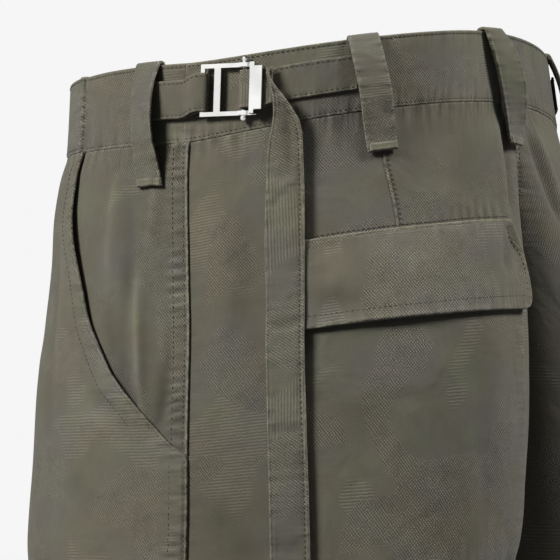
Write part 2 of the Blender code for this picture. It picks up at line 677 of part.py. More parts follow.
def round_pin(radius, half_length, knob=None, sides=12):
    """Turned pin along the buckle's height, with a ball on each end if knob is given."""
    profile = [(radius, -half_length), (radius, half_length)]
    if knob:
        turns = np.linspace(-0.35 * pi, 0.5 * pi, 6)[:-1]
        centre = half_length + knob * 0.8
        ball = [(knob * np.cos(t), centre + knob * np.sin(t)) for t in turns]
        profile = [(r, -u) for r, u in reversed(ball)] + profile + ball
    low, high = profile[0][1], profile[-1][1]
    vertices, faces = [], []
    for r, up in profile:
        for angle in np.linspace(0, 2 * pi, sides, endpoint=False):
            vertices.append(buckle_point(PIN_ARC + r * np.cos(angle), PIN_RISE + up,
                                         PIN_LIFT + r * np.sin(angle)))
    for k in range(len(profile) - 1):
        for c in range(sides):
            d = (c + 1) % sides
            faces.append((k * sides + d, k * sides + c, (k + 1) * sides + c, (k + 1) * sides + d))
    tip = 0.35 * radius if knob else 0.0
    vertices += [buckle_point(PIN_ARC, PIN_RISE + low - tip, PIN_LIFT),
                 buckle_point(PIN_ARC, PIN_RISE + high + tip, PIN_LIFT)]
    first, last = len(vertices) - 2, len(vertices) - 1
    for c in range(sides):
        d = (c + 1) % sides
        faces.append((first, c, d))
        top = (len(profile) - 1) * sides
        faces.append((last, top + d, top + c))
    return vertices, faces


def boolean(target, tool, operation):
    tool.hide_render = True
    tool.display_type = "WIRE"
    cut = target.modifiers.new(operation.title(), "BOOLEAN")
    cut.operation = operation
    cut.object = tool


def bevel(piece, width):
    soft = piece.modifiers.new("Bevel", "BEVEL")
    soft.width = width
    soft.segments = 1
    soft.limit_method = "ANGLE"


def make_buckle():
    rail_ups = (-FRAME_HEIGHT / 2, -FRAME_HEIGHT / 2 + RAIL,
                FRAME_HEIGHT / 2 - RAIL, FRAME_HEIGHT / 2)
    arcs = np.array((0, RAIL, *MIDDLE_BAR, FRAME_LENGTH)) + FRAME_START
    rails = {(i, j) for i in range(4) for j in (0, 2)}
    bars = {(0, 1), (2, 1)}
    frame = grid_solid(arcs, rail_ups, rails | bars, (FRAME_LIFT, FRAME_LIFT + FRAME_WALL))
    frames = add_pair("buckle_frame", *frame, "metal")

    eye_arcs = (PIN_ARC - EYE / 2, PIN_ARC + EYE / 2)
    eye_lifts = (PIN_LIFT - EYE / 2, PIN_LIFT + EYE / 2)
    inset = 0.1 * MM
    for rail, low, high in (("lower", rail_ups[0], rail_ups[1]),
                                  ("upper", rail_ups[2], rail_ups[3])):
        boss = box_solid(eye_arcs, (low + inset, high - inset), eye_lifts)
        for frame_piece, boss_piece in zip(frames, add_pair("eye_" + rail, *boss, "metal")):
            boolean(frame_piece, boss_piece, "UNION")
    hole = round_pin(PIN_RADIUS + GAP, FRAME_HEIGHT)
    for frame_piece, hole_piece in zip(frames, add_pair("pin_hole", *hole, "metal")):
        boolean(frame_piece, hole_piece, "DIFFERENCE")

    pin = round_pin(PIN_RADIUS, FRAME_HEIGHT / 2 + PIN_RISE + 0.5 * MM, KNOB_RADIUS)
    for piece in add_pair("buckle_pin", *pin, "metal"):
        piece.data.shade_smooth()

    make_plate()


def make_plate():
    """The plate's bar stands on the rails with two feet; its blade reaches past them."""
    low = 2 * PIN_LIFT - STRAP_SEAT + GAP
    high, foot = low + PLATE_WALL, FRAME_LIFT + FRAME_WALL + GAP
    half, inner = PLATE_BAR_HEIGHT / 2, PLATE_BAR_HEIGHT / 2 - FOOT
    section = ((-half, foot), (-inner, foot), (-inner, low), (inner, low), (inner, foot),
               (half, foot), (half, high), (-half, high))
    start, bar_end, blade_end = PLATE_ARCS
    vertices = [buckle_point(arc, up, lift) for arc in (start, bar_end) for up, lift in section]
    count = len(section)
    faces = [tuple(reversed(range(count))), tuple(range(count, 2 * count))]
    faces += [(k, (k + 1) % count, count + (k + 1) % count, count + k) for k in range(count)]
    inset = 0.1 * MM
    blade = box_solid((start + RAIL / 2, blade_end),
                      (-PLATE_BLADE_HEIGHT / 2, PLATE_BLADE_HEIGHT / 2),
                      (low + inset, high - inset))
    plates = add_pair("buckle_plate", vertices, faces, "metal")
    for plate, blade_piece in zip(plates, add_pair("blade", *blade, "metal")):
        boolean(plate, blade_piece, "UNION")
        bevel(plate, 0.25 * MM)
        plate.modifiers.new("Triangles", "TRIANGULATE")


def make_button():
    """Waist button on the end of the left band, over the middle line."""
    arc = front_arc(-BAND_HEIGHT / 2) - BAND_LAP / 2
    spot = place(arc, -BAND_HEIGHT / 2, BAND_LIFT + 2 * GAP)
    edge_round = 0.6 * MM
    profile = ((BUTTON_RADIUS - edge_round, 0), (BUTTON_RADIUS, edge_round),
               (BUTTON_RADIUS, BUTTON_WALL - edge_round), (BUTTON_RADIUS - edge_round, BUTTON_WALL))
    sides = 28
    vertices, faces = [], []
    for radius, out in profile:
        for angle in np.linspace(0, 2 * pi, sides, endpoint=False):
            vertices.append(spot + (radius * np.cos(angle), -out - GAP, radius * np.sin(angle)))
    for k in range(len(profile) - 1):
        for c in range(sides):
            d = (c + 1) % sides
            faces.append((k * sides + c, k * sides + d, (k + 1) * sides + d, (k + 1) * sides + c))
    top = (len(profile) - 1) * sides
    faces.append(tuple(reversed(range(sides))))
    faces.append(tuple(range(top, top + sides)))
    add_object("waist_button", vertices, faces, "button")


for old in list(bpy.data.objects):
    bpy.data.objects.remove(old)
make_panels()
make_back_pockets()
make_waistband()
make_loops()
make_straps()
make_buckle()
make_button()
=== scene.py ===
"""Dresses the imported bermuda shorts: cloth shells on the solids' form, metal, thread, studio.

The cloth uses the same form as the part's source. A place on the left half is given by its
arc from the side seam (towards the back positive), its drop below the waist seam and its
lift off the form, all in metres; the right half is its mirror image. +X is the wearer's
left and +Y the back.
"""
from math import asin, cos, pi, radians, sin

import bpy
import numpy as np
from mathutils import Matrix, Vector


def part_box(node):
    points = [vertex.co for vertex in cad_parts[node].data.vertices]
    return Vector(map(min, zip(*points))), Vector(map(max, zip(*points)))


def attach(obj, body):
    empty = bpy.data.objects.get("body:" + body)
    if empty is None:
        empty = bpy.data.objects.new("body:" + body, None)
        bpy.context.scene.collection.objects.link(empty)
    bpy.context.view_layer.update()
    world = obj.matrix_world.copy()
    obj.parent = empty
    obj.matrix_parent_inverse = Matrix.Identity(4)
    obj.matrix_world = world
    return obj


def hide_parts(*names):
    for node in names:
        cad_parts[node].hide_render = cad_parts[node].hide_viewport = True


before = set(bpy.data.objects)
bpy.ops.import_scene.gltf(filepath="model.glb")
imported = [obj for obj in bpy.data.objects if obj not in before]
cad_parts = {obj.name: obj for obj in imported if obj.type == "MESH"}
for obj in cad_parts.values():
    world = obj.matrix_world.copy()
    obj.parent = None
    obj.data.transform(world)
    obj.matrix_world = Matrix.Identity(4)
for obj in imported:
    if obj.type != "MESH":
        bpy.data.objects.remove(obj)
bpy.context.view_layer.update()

# ------------------------------------------------------------------ sizes shared with the source
MM = 0.001
BAND_HEIGHT = 47 * MM
BAND_LIFT = 0.7 * MM
BAND_WALL = 2.2 * MM
FRONT_LIFT = 2.25 * MM
SEAM_ARC = 4.5 * MM
OUTSEAM = 510 * MM
RISE_AT_SEAM = 28.5 * MM
RISE_AT_TOP = 24 * MM
FRONT_DIP = 5 * MM
RISE_FADES = 100 * MM
RISE_ENDS = 350 * MM
BAND_LAP = 25 * MM

SECTION_COLUMNS = ("drop", "hip", "front_x", "front", "fly", "seat_x", "seat", "cleft",
                   "front_square", "back_square", "leg_gap", "seam_back")
SECTIONS_MM = (
    (-50, 147.5, 0, 138.5, 138.5, 0, 130.5, 130.5, 2.15, 2.48, 0, 0),
    (0, 151.0, 0, 140.5, 140.5, 0, 135.5, 135.5, 2.15, 2.58, 0, 0),
    (14, 154.0, 4, 144.0, 144.0, 10, 138.0, 137.0, 2.15, 2.52, 0, 1),
    (35, 159.0, 10, 145.0, 145.0, 26, 143.0, 138.5, 2.15, 2.40, 0, 4),
    (70, 168.0, 20, 138.0, 137.5, 38, 153.0, 137.0, 2.20, 2.30, 0, 10),
    (110, 177.0, 35, 132.5, 131.0, 48, 162.0, 131.5, 2.25, 2.25, 0, 16),
    (150, 185.0, 50, 128.0, 123.0, 56, 167.0, 121.0, 2.30, 2.30, 0, 20),
    (190, 191.0, 65, 124.5, 111.5, 64, 170.0, 104.0, 2.30, 2.30, 0, 23),
    (225, 195.0, 78, 122.5, 91.0, 74, 171.0, 82.0, 2.30, 2.30, 0, 25),
    (250, 197.5, 90, 121.0, 66.0, 86, 170.0, 58.0, 2.30, 2.30, 0, 26),
    (260, 198.5, 97, 121.0, 40.0, 93, 169.0, 36.0, 2.30, 2.30, 0, 26),
    (265, 199.0, 100, 120.5, 0.0, 97, 168.0, 0.0, 2.30, 2.30, 0, 26),
    (310, 201.5, 104, 118.0, 0.0, 103, 163.0, 0.0, 2.25, 2.25, 6, 26),
    (400, 206.0, 110, 113.0, 0.0, 110, 150.0, 0.0, 2.15, 2.15, 12, 25),
    (510, 211.0, 114, 108.0, 0.0, 114, 137.0, 0.0, 2.10, 2.10, 18, 24),
)
FOLD_COLUMNS = ("drop", "arc", "end_drop", "end_arc", "half_width", "height")
FOLDS_MM = (
    (40, -132, 300, -118, 26, 3.0),
    (110, -96, 330, -84, 22, -2.2),
    (60, -30, 170, -30, 18, 2.0),
    (190, -50, 620, -72, 34, 5.0),
    (200, 14, 620, 8, 30, 4.0),
    (230, 120, 640, 146, 38, 6.0),
    (240, 60, 620, 72, 28, -4.0),
    (290, -176, 620, -160, 36, 5.0),
    (270, -122, 620, -112, 26, -3.5),
    (280, 222, 640, 232, 34, -4.0),
    (6, 150, 62, 158, 16, -1.6),
    (6, 205, 62, 214, 14, 1.5),
)
FOLD_FADE = 0.4                  # share of its length in which a fold's end fades
WAVE_HEIGHT = 0.45 * MM
WAVE_SEEDS = {"left": 3, "right": 4}

# Curved mouth of the front pocket, on the front panel's edge.
MOUTH_MM = (  # drop, arc
    (-2, -87.5), (0, -87.5), (14, -90), (28, -90), (53, -85), (83, -74), (101, -67.5),
    (111, -61.5), (121, -55), (131, -48), (141, -39.5), (150, -30.5), (159, -21.5),
    (169, -11.5), (177, -2.5), (182, 4.5))
MOUTH_GAPE = 2.4 * MM
MOUTH_GAPE_DROPS = (5 * MM, 50 * MM, 120 * MM)
MOUTH_GAPE_REACH = 22 * MM
PRESSED_REACH = 3.5 * MM
FACING_TURNING = 1.1 * MM
FACING_DEPTHS_MM = ((8, 0), (60, 1.0), (130, 0.8), (176, 0))      # drop, depth
FACING_DEPTH_REACH = 7 * MM
POCKET_UNDERLAP = 16 * MM
HEM = 26 * MM
HEM_DEPTH = 1.35 * MM            # from the panel's outer face to the outer face of the hem
SEWN_OVER = 0.4 * MM
SEAM_STEP = 1.35 * MM            # height of the sewn edge over the back panel


# ------------------------------------------------------------------ the form
def smooth_step(t):
    t = np.clip(t, 0, 1)
    return t * t * (3 - 2 * t)


def rising(value, start, stop):
    """0 up to start, 1 from stop on, and smooth between them."""
    return smooth_step((value - start) / (stop - start))


def bell(away, width=1.0):
    return np.exp(-(away / width) ** 2)


def unit(vectors):
    return vectors / (np.linalg.norm(vectors, axis=-1)[..., None] + 1e-12)


def run_along(points):
    """Distance of each point of a polyline from the first one, along it."""
    return np.concatenate([[0], np.cumsum(np.linalg.norm(np.diff(points, axis=0), axis=1))])


def read_at(wanted, along, points):
    """Points of a polyline at the wanted distances along it."""
    return np.stack([np.interp(wanted, along, axis) for axis in points.T], axis=-1)


def curve_through(xs, ys, x):
    """Smooth curve through the rows that never overshoots them."""
    xs, ys, x = np.asarray(xs, float), np.asarray(ys, float), np.asarray(x, float)
    steps = np.diff(xs)
    slopes = np.diff(ys) / steps
    tangents = np.concatenate([[slopes[0]], (slopes[:-1] + slopes[1:]) / 2, [slopes[-1]]])
    for k in range(1, len(xs) - 1):
        low, high = sorted((abs(slopes[k - 1]), abs(slopes[k])))
        turning = slopes[k - 1] * slopes[k] <= 0
        tangents[k] = 0 if turning else np.sign(slopes[k]) * 2 * low * high / (low + high)
    x = np.clip(x, xs[0], xs[-1])
    k = np.clip(np.searchsorted(xs, x) - 1, 0, len(steps) - 1)
    t = (x - xs[k]) / steps[k]
    start = (1 + 2 * t) * (1 - t) ** 2 * ys[k] + t * (1 - t) ** 2 * steps[k] * tangents[k]
    end = t * t * (3 - 2 * t) * ys[k + 1] + t * t * (t - 1) * steps[k] * tangents[k + 1]
    return start + end


def from_table(table, column=1):
    """Smooth function of the drop given by one column of a table in millimetres."""
    rows = np.array(table, float) * MM
    return lambda drop: curve_through(rows[:, 0], rows[:, column], drop)


def constant(value):
    return lambda drop: np.full_like(np.asarray(drop, float), value)


def quarter(hip, full_x, full_y, middle_y, square, leg_gap, steps=90):
    """Outline from the widest place over the fullest one to the middle line or inseam."""
    turn = np.linspace(0, pi / 2, steps)
    outer = np.column_stack([full_x + (hip - full_x) * np.cos(turn) ** (2 / square),
                             full_y * np.sin(turn) ** (2 / square)])
    if full_x <= 0:
        return outer
    share = min(middle_y / full_y, 0.9999)
    reach = (full_x - leg_gap) / (1 - share ** square) ** (1 / square)
    turn = np.linspace(pi / 2, asin(share ** (square / 2)), steps)
    inner = np.column_stack([full_x - reach * np.cos(turn) ** (2 / square),
                             full_y * np.sin(turn) ** (2 / square)])
    return np.concatenate([outer, inner[1:]])


def half_ring(drop):
    """Arcs from the side seam and points of the left half of the section at this drop."""
    rows = np.array(SECTIONS_MM, float)
    v = {}
    for index, name in enumerate(SECTION_COLUMNS[1:], start=1):
        scale = 1.0 if name.endswith("square") else MM
        v[name] = float(scale * curve_through(rows[:, 0] * MM, rows[:, index], drop))
    front = quarter(v["hip"], v["front_x"], v["front"], v["fly"], v["front_square"], v["leg_gap"])
    back = quarter(v["hip"], v["seat_x"], v["seat"], v["cleft"], v["back_square"], v["leg_gap"])
    outline = np.concatenate([(front * (1, -1))[::-1], back[1:]])
    arcs = run_along(outline)
    arcs -= arcs[len(front) - 1] + v["seam_back"]
    x, y = outline.T
    towards_back = y / np.maximum(np.hypot(x, y), MM)
    at_seam = RISE_AT_SEAM * np.clip(towards_back, 0, 1) ** 1.25
    if drop <= 0:
        at_top = (RISE_AT_TOP * np.clip(towards_back, 0, 1) ** 1.5
                  - FRONT_DIP * np.clip(-towards_back, 0, 1) ** 2)
        rise = at_seam + (at_top - at_seam) * -drop / BAND_HEIGHT
    else:
        rise = at_seam * (1 - rising(drop, RISE_FADES, RISE_ENDS))
    return arcs, np.column_stack([x, y, -BAND_HEIGHT / 2 - drop + rise])


DROPS = np.arange(-52, 513, 1.0) * MM
TURNS = np.linspace(-1, 1, 361)   # from the middle of the front over the side seam to the back


def tabulate_form():
    """Points and outward normals of the form by drop and turn, and the ends of its arcs."""
    points, ends = [], []
    for drop in DROPS:
        arcs, outline = half_ring(drop)
        wanted = np.where(TURNS < 0, -TURNS * arcs[0], TURNS * arcs[-1])
        points.append(read_at(wanted, arcs, outline))
        ends.append((arcs[0], arcs[-1]))
    points = np.array(points)
    normals = np.cross(np.gradient(points, axis=0), np.gradient(points, axis=1))
    return points, unit(normals), np.array(ends)


POINTS, NORMALS, ENDS = tabulate_form()


def front_end(drop):
    """Arc of the middle of the front, or of the inseam."""
    return np.interp(drop, DROPS, ENDS[:, 0])


def back_end(drop):
    return np.interp(drop, DROPS, ENDS[:, 1])


def form(arc, drop, lift):
    """Points of the form, moved out by lift; all three may be arrays."""
    arc, drop, lift = np.broadcast_arrays(*(np.asarray(v, float) for v in (arc, drop, lift)))
    turn = np.where(arc < 0, -arc / front_end(drop), arc / back_end(drop))
    past = np.abs(turn) > 1
    turn = np.where(past, np.sign(turn) * (2 - np.abs(turn)), turn)
    row = np.clip((drop - DROPS[0]) / MM, 0, len(DROPS) - 1.001)
    column = np.clip((turn + 1) / (TURNS[1] - TURNS[0]), 0, len(TURNS) - 1.001)
    r, c = row.astype(int), column.astype(int)
    s, t = (row - r)[..., None], (column - c)[..., None]

    def blended(values):
        upper = values[r, c] * (1 - t) + values[r, c + 1] * t
        lower = values[r + 1, c] * (1 - t) + values[r + 1, c + 1] * t
        return upper * (1 - s) + lower * s

    point = blended(POINTS) + unit(blended(NORMALS)) * lift[..., None]
    point[..., 0] = np.maximum(point[..., 0], 0.05 * MM)
    point[..., 0] *= np.where(past, -1, 1)
    return point


def near_line(arc, drop, path):
    """Distance from a line of (arc, drop) in millimetres, side of it, and share along it."""
    path = np.array(path, float) * MM
    lengths = np.linalg.norm(np.diff(path, axis=0), axis=1)
    total = lengths.sum()
    best = np.full(arc.shape, np.inf)
    side, share = np.zeros(arc.shape), np.zeros(arc.shape)
    done = 0.0
    for (a, d), (b, e), length in zip(path, path[1:], lengths):
        ax, dx = (b - a) / length, (e - d) / length
        along = np.clip((arc - a) * ax + (drop - d) * dx, 0, length)
        across = (arc - a) * dx - (drop - d) * ax
        distance = np.hypot(arc - a - along * ax, drop - d - along * dx)
        closer = distance < best
        best = np.where(closer, distance, best)
        side = np.where(closer, np.sign(across), side)
        share = np.where(closer, (done + along) / total, share)
        done += length
    return best, side, share


def waves(arc, drop, seed):
    """Slow uneven waves of the worn cloth, about -1 to 1, with their lengths in millimetres."""
    phase = np.random.default_rng(seed).uniform(0, 2 * pi, 8)
    a, d = arc / MM, drop / MM
    warp = 9 * np.sin(a / 31 + phase[0]) + 7 * np.sin(d / 43 + phase[1])
    return 0.4 * (np.sin((a + warp) / 13 + d / 60 + phase[2])
                  + 0.8 * np.sin((d + warp) / 17 - a / 45 + phase[3])
                  + 0.6 * np.sin((a - d + warp) / 9.5 + phase[4]) * np.sin(d / 38 + phase[5]))


# Every crease below also paints shade into the cloth's colour: darker in a trough, paler on a
# ridge, most of all in the deep cleft.
CLEFT_MM = ((253, 50), (278, 100), (287, 131), (290, 170), (292, 209), (292, 260), (288, 340))
CREASES_MM = (  # line of (arc, drop), half width, height of its ridge, of its step
    (((-29, 66), (-29, 102), (-28, 130), (-32, 152)), 5, 2.3, 0.4),
    (((-9, 118), (-11, 146), (-17, 172)), 4, -2.4, 0),
    (((-66, 143), (-49, 151), (-39, 157), (-28, 168)), 3.6, -2.2, -0.4),
    (((-72, 152), (-52, 161), (-40, 170)), 5, 1.5, 0),
    (((-46, 14), (-50, 45), (-55, 84)), 5, 1.9, 0.4),
    (((-20, 12), (-19, 34), (-23, 66)), 4, 1.6, 0.3),
    (((-38, 24), (-36, 60), (-39, 100)), 5, -1.7, 0),
    (((-50, 98), (-44, 118), (-47, 138)), 4, 1.2, 0.2),
    (((-103, 22), (-101, 90), (-96, 160)), 5, 1.2, 0.4),
    (((-113, 40), (-110, 110), (-103, 190)), 5, -1.2, 0),
    (((-82, 190), (-70, 206), (-50, 216)), 8, -1.4, -0.5),
    (((14, 30), (24, 80), (20, 140)), 10, 1.0, 0.4),
    (((46, 30), (40, 84), (45, 150)), 9, -1.0, 0.3),
    (((148, 10), (158, 36), (152, 64)), 10, 0.9, 0.3),
    (((186, 14), (180, 40), (190, 66)), 9, -0.9, 0.2),
    (((213, 5), (215, 40), (216, 74)), 5, 1.5, 0),
    (((224, 3), (225, 40), (224, 76)), 5, -2.6, 0),
    (((120, 130), (126, 170), (118, 232)), 12, 1.0, 0.3),
    (((176, 128), (184, 180), (178, 240)), 12, -1.2, 0.3),
    (((80, 300), (112, 322), (150, 330)), 12, -1.8, 0.6),
    (((-150, 230), (-120, 262), (-80, 276)), 11, -1.8, 0.5),
    (((-140, 330), (-100, 352), (-50, 356)), 13, -1.6, 0.5),
    (((-176, 60), (-150, 96), (-128, 120)), 8, -1.2, 0.4),
    (((200, 236), (214, 262), (220, 300)), 9, -2.0, 0.5),
    (CLEFT_MM, 15, -5.6, 0),
)
OWN_CREASES_MM = {  # those that only one half has
    "left": ((((14, 210), (34, 222), (52, 250)), 10, -1.6, 0.5),),
    "right": ((((-30, 190), (-10, 214), (12, 226)), 9, -1.6, 0.4),
              (((60, 250), (92, 268), (130, 276)), 10, -1.8, 0.5)),
}
CREASE_FADE = 0.3                # share of its length in which a crease's end fades


def crease_height(arc, drop, rows):
    """Soft ridges, troughs and steps along lines of (arc, drop)."""
    total = np.zeros(np.shape(arc))
    for path, half_width, ridge, step in rows:
        distance, hand, share = near_line(arc, drop, path)
        away = distance / (half_width * MM)
        ends = smooth_step(np.minimum(share, 1 - share) / CREASE_FADE)
        total += (ridge + step * hand * away) * MM * bell(away) * ends
    return total


PUCKERS_MM = (  # runs along, at, reach, start, stop, pitch, height
    ("drop", -4, 5.5, 4, 508, 6.1, 0.8),
    ("arc", 66, 6, 128, 214, 7.5, 0.5),
    ("arc", 5, 6, -236, 238, 10, 0.3),
    ("arc", 487, 8, -205, 240, 12, 0.5),
)
PUCKER_FADE_MM = 12


def puckers(arc, drop):
    """Small waves along the seams; their lengths and heights vary along the run."""
    total = np.zeros(np.shape(arc))
    for along, at, reach, start, stop, pitch, height in PUCKERS_MM:
        run, across = (drop, arc) if along == "drop" else (arc, drop)
        run, across = run / MM, across / MM
        phase = run / pitch * 2 * pi + 1.7 * np.sin(run / (2.9 * pitch))
        phase += 1.2 * np.sin(run / (1.3 * pitch) + across / 9)
        uneven = 0.6 + 0.4 * np.sin(run / (1.9 * pitch) + 1)
        ends = smooth_step(np.minimum(run - start, stop - run) / PUCKER_FADE_MM)
        total += height * MM * np.sin(phase) * uneven * ends * bell(across - at, reach)
    return total


def relief(arc, drop, side):
    """Height of folds and creases above the form, the same for all layers at a place."""
    arc, drop = np.broadcast_arrays(np.asarray(arc, float), np.asarray(drop, float))
    total = np.zeros(arc.shape)
    for row in FOLDS_MM:
        fold = dict(zip(FOLD_COLUMNS, np.array(row) * MM))
        along = (drop - fold["drop"]) / (fold["end_drop"] - fold["drop"])
        middle = fold["arc"] + (fold["end_arc"] - fold["arc"]) * along
        ends = smooth_step(np.minimum(along, 1 - along) / FOLD_FADE)
        total += fold["height"] * bell(arc - middle, fold["half_width"]) * ends
    total += crease_height(arc, drop, CREASES_MM + OWN_CREASES_MM[side])
    total += WAVE_HEIGHT * waves(arc, drop, WAVE_SEEDS[side]) * rising(drop, 0, 25 * MM)
    return total + puckers(arc, drop)


def on_side(side):
    """Place on one half of the shorts, on top of their folds and creases."""
    return lambda arc, drop, lift: form(arc, drop, lift + relief(arc, drop, side))


# ------------------------------------------------------------------ cloth meshes
EDGE_STEPS = np.array((0, 0.12, 0.4, 0.8, 1.4, 2.1, 2.8, 3.8)) * MM
GROOVE = 0.32 * MM               # how far a row of stitches pulls the cloth in
GROOVE_WIDTH = 0.8 * MM
RIM_REACH = 9 * MM               # how far in from an edge its puckers run
PUCKER_PAINTED_SHADING = 0.6                # painted light and shade: paler by this share for each millimetre of a pucker's height, darker in its hollows
# Painted shade and light of creases: the cloth's colour darkens by these shares for each millimetre
# of a trough's depth and pales as much on a ridge; the second is for a piece's own creases.
CREASE_PAINTED_SHADING = 0.075
OWN_CREASE_PAINTED_SHADING = 0.13
RIBBON_PITCHES = (1.4 * MM, 1.5 * MM)      # along and across a strip
RIBBON_ROLL_WIDTH = 1.2 * MM
RIBBON_RIM = 0.7                 # puckers at a strip's long edges, and their reach
RIBBON_RIM_REACH = 4 * MM
STITCH_ROWS = []                 # (side, points as (arc, drop), function that places them)
CUTS = []                        # (piece, flat width and length, flat area, what holds it)
SEWN_ON = []                     # (small sewn strip, name of the sheet it lies on)


def spaced(start, stop, count):
    """Positions from start to stop: fine steps at both ends, even ones between."""
    start, stop = np.broadcast_arrays(np.asarray(start, float), np.asarray(stop, float))
    shrink = np.minimum(1, (stop - start) / (2.6 * EDGE_STEPS[-1]))
    steps = EDGE_STEPS * shrink[..., None]
    low, high = start + steps[..., -1], stop - steps[..., -1]
    middle = low[..., None] + (high - low)[..., None] * np.linspace(0, 1, count)
    return np.concatenate([start[..., None] + steps[..., :-1], middle,
                           (stop[..., None] - steps[..., :-1])[..., ::-1]], axis=-1)


def count_for(length, pitch):
    return max(3, int(round(float(np.max(length)) / pitch)))


def half_thickness(from_edge, wall):
    """Rounded rim: half the wall's thickness at a distance from the edge."""
    roll = np.clip(from_edge / (0.7 * wall), 0, 1)
    return wall / 2 * np.sqrt(np.clip(1 - (1 - roll) ** 2, 0, 1))


def add_mesh(name, points, quads, layers, finish, mirrored=False):
    """Mesh object from arrays, with its layers of vectors for each point."""
    points = np.array(points, float).reshape(-1, 3)
    if mirrored:
        points = points * (-1, 1, 1)
        quads = quads[:, ::-1]
    mesh = bpy.data.meshes.new(name)
    mesh.vertices.add(len(points))
    mesh.vertices.foreach_set("co", points.ravel())
    mesh.loops.add(quads.size)
    mesh.loops.foreach_set("vertex_index", np.ascontiguousarray(quads, dtype=np.int32).ravel())
    mesh.polygons.add(len(quads))
    mesh.polygons.foreach_set("loop_start", np.arange(0, quads.size, quads.shape[1]))
    mesh.polygons.foreach_set("use_smooth", np.ones(len(quads), dtype=bool))
    mesh.update(calc_edges=True)
    for layer, values in layers.items():
        attribute = mesh.attributes.new(layer, "FLOAT_VECTOR", "POINT")
        attribute.data.foreach_set("vector", np.asarray(values, float).ravel())
    mesh.materials.append(finish)
    return add_object(name, mesh)


def add_object(name, data):
    made = bpy.data.objects.new(name, data)
    bpy.context.scene.collection.objects.link(made)
    return made


def shell_mesh(name, outer, inner, layers, finish, mirrored):
    """Closed shell of two grids of points that share their rim."""
    rows, columns = outer.shape[:2]
    front = np.arange(rows * columns).reshape(rows, columns)
    behind = front.copy()
    inside = behind[1:-1, 1:-1]
    behind[1:-1, 1:-1] = rows * columns + np.arange(inside.size).reshape(inside.shape)
    quads = []
    for grid, order in ((front, 1), (behind, -1)):
        corners = [grid[:-1, :-1], grid[1:, :-1], grid[1:, 1:], grid[:-1, 1:]][::order]
        quads.append(np.stack([c.ravel() for c in corners], axis=1))
    both = lambda grid, other: np.concatenate([grid.reshape(-1, 3),
                                               other[1:-1, 1:-1].reshape(-1, 3)])
    layers = {key: both(values, values) for key, values in layers.items()}
    return add_mesh(name, both(outer, inner), np.concatenate(quads), layers, finish, mirrored)


def own_offset(name):
    """Where on the cloth this piece was cut."""
    return np.random.default_rng(sum(map(ord, name)) * 7 + len(name)).uniform(0, 3, 2)


def perpendicular(edge, drops, step=0.5 * MM):
    """Factor from an arc difference to the distance from a slanting edge."""
    slope = (edge(drops + step) - edge(drops - step)) / (2 * step)
    return 1 / np.sqrt(1 + slope ** 2)


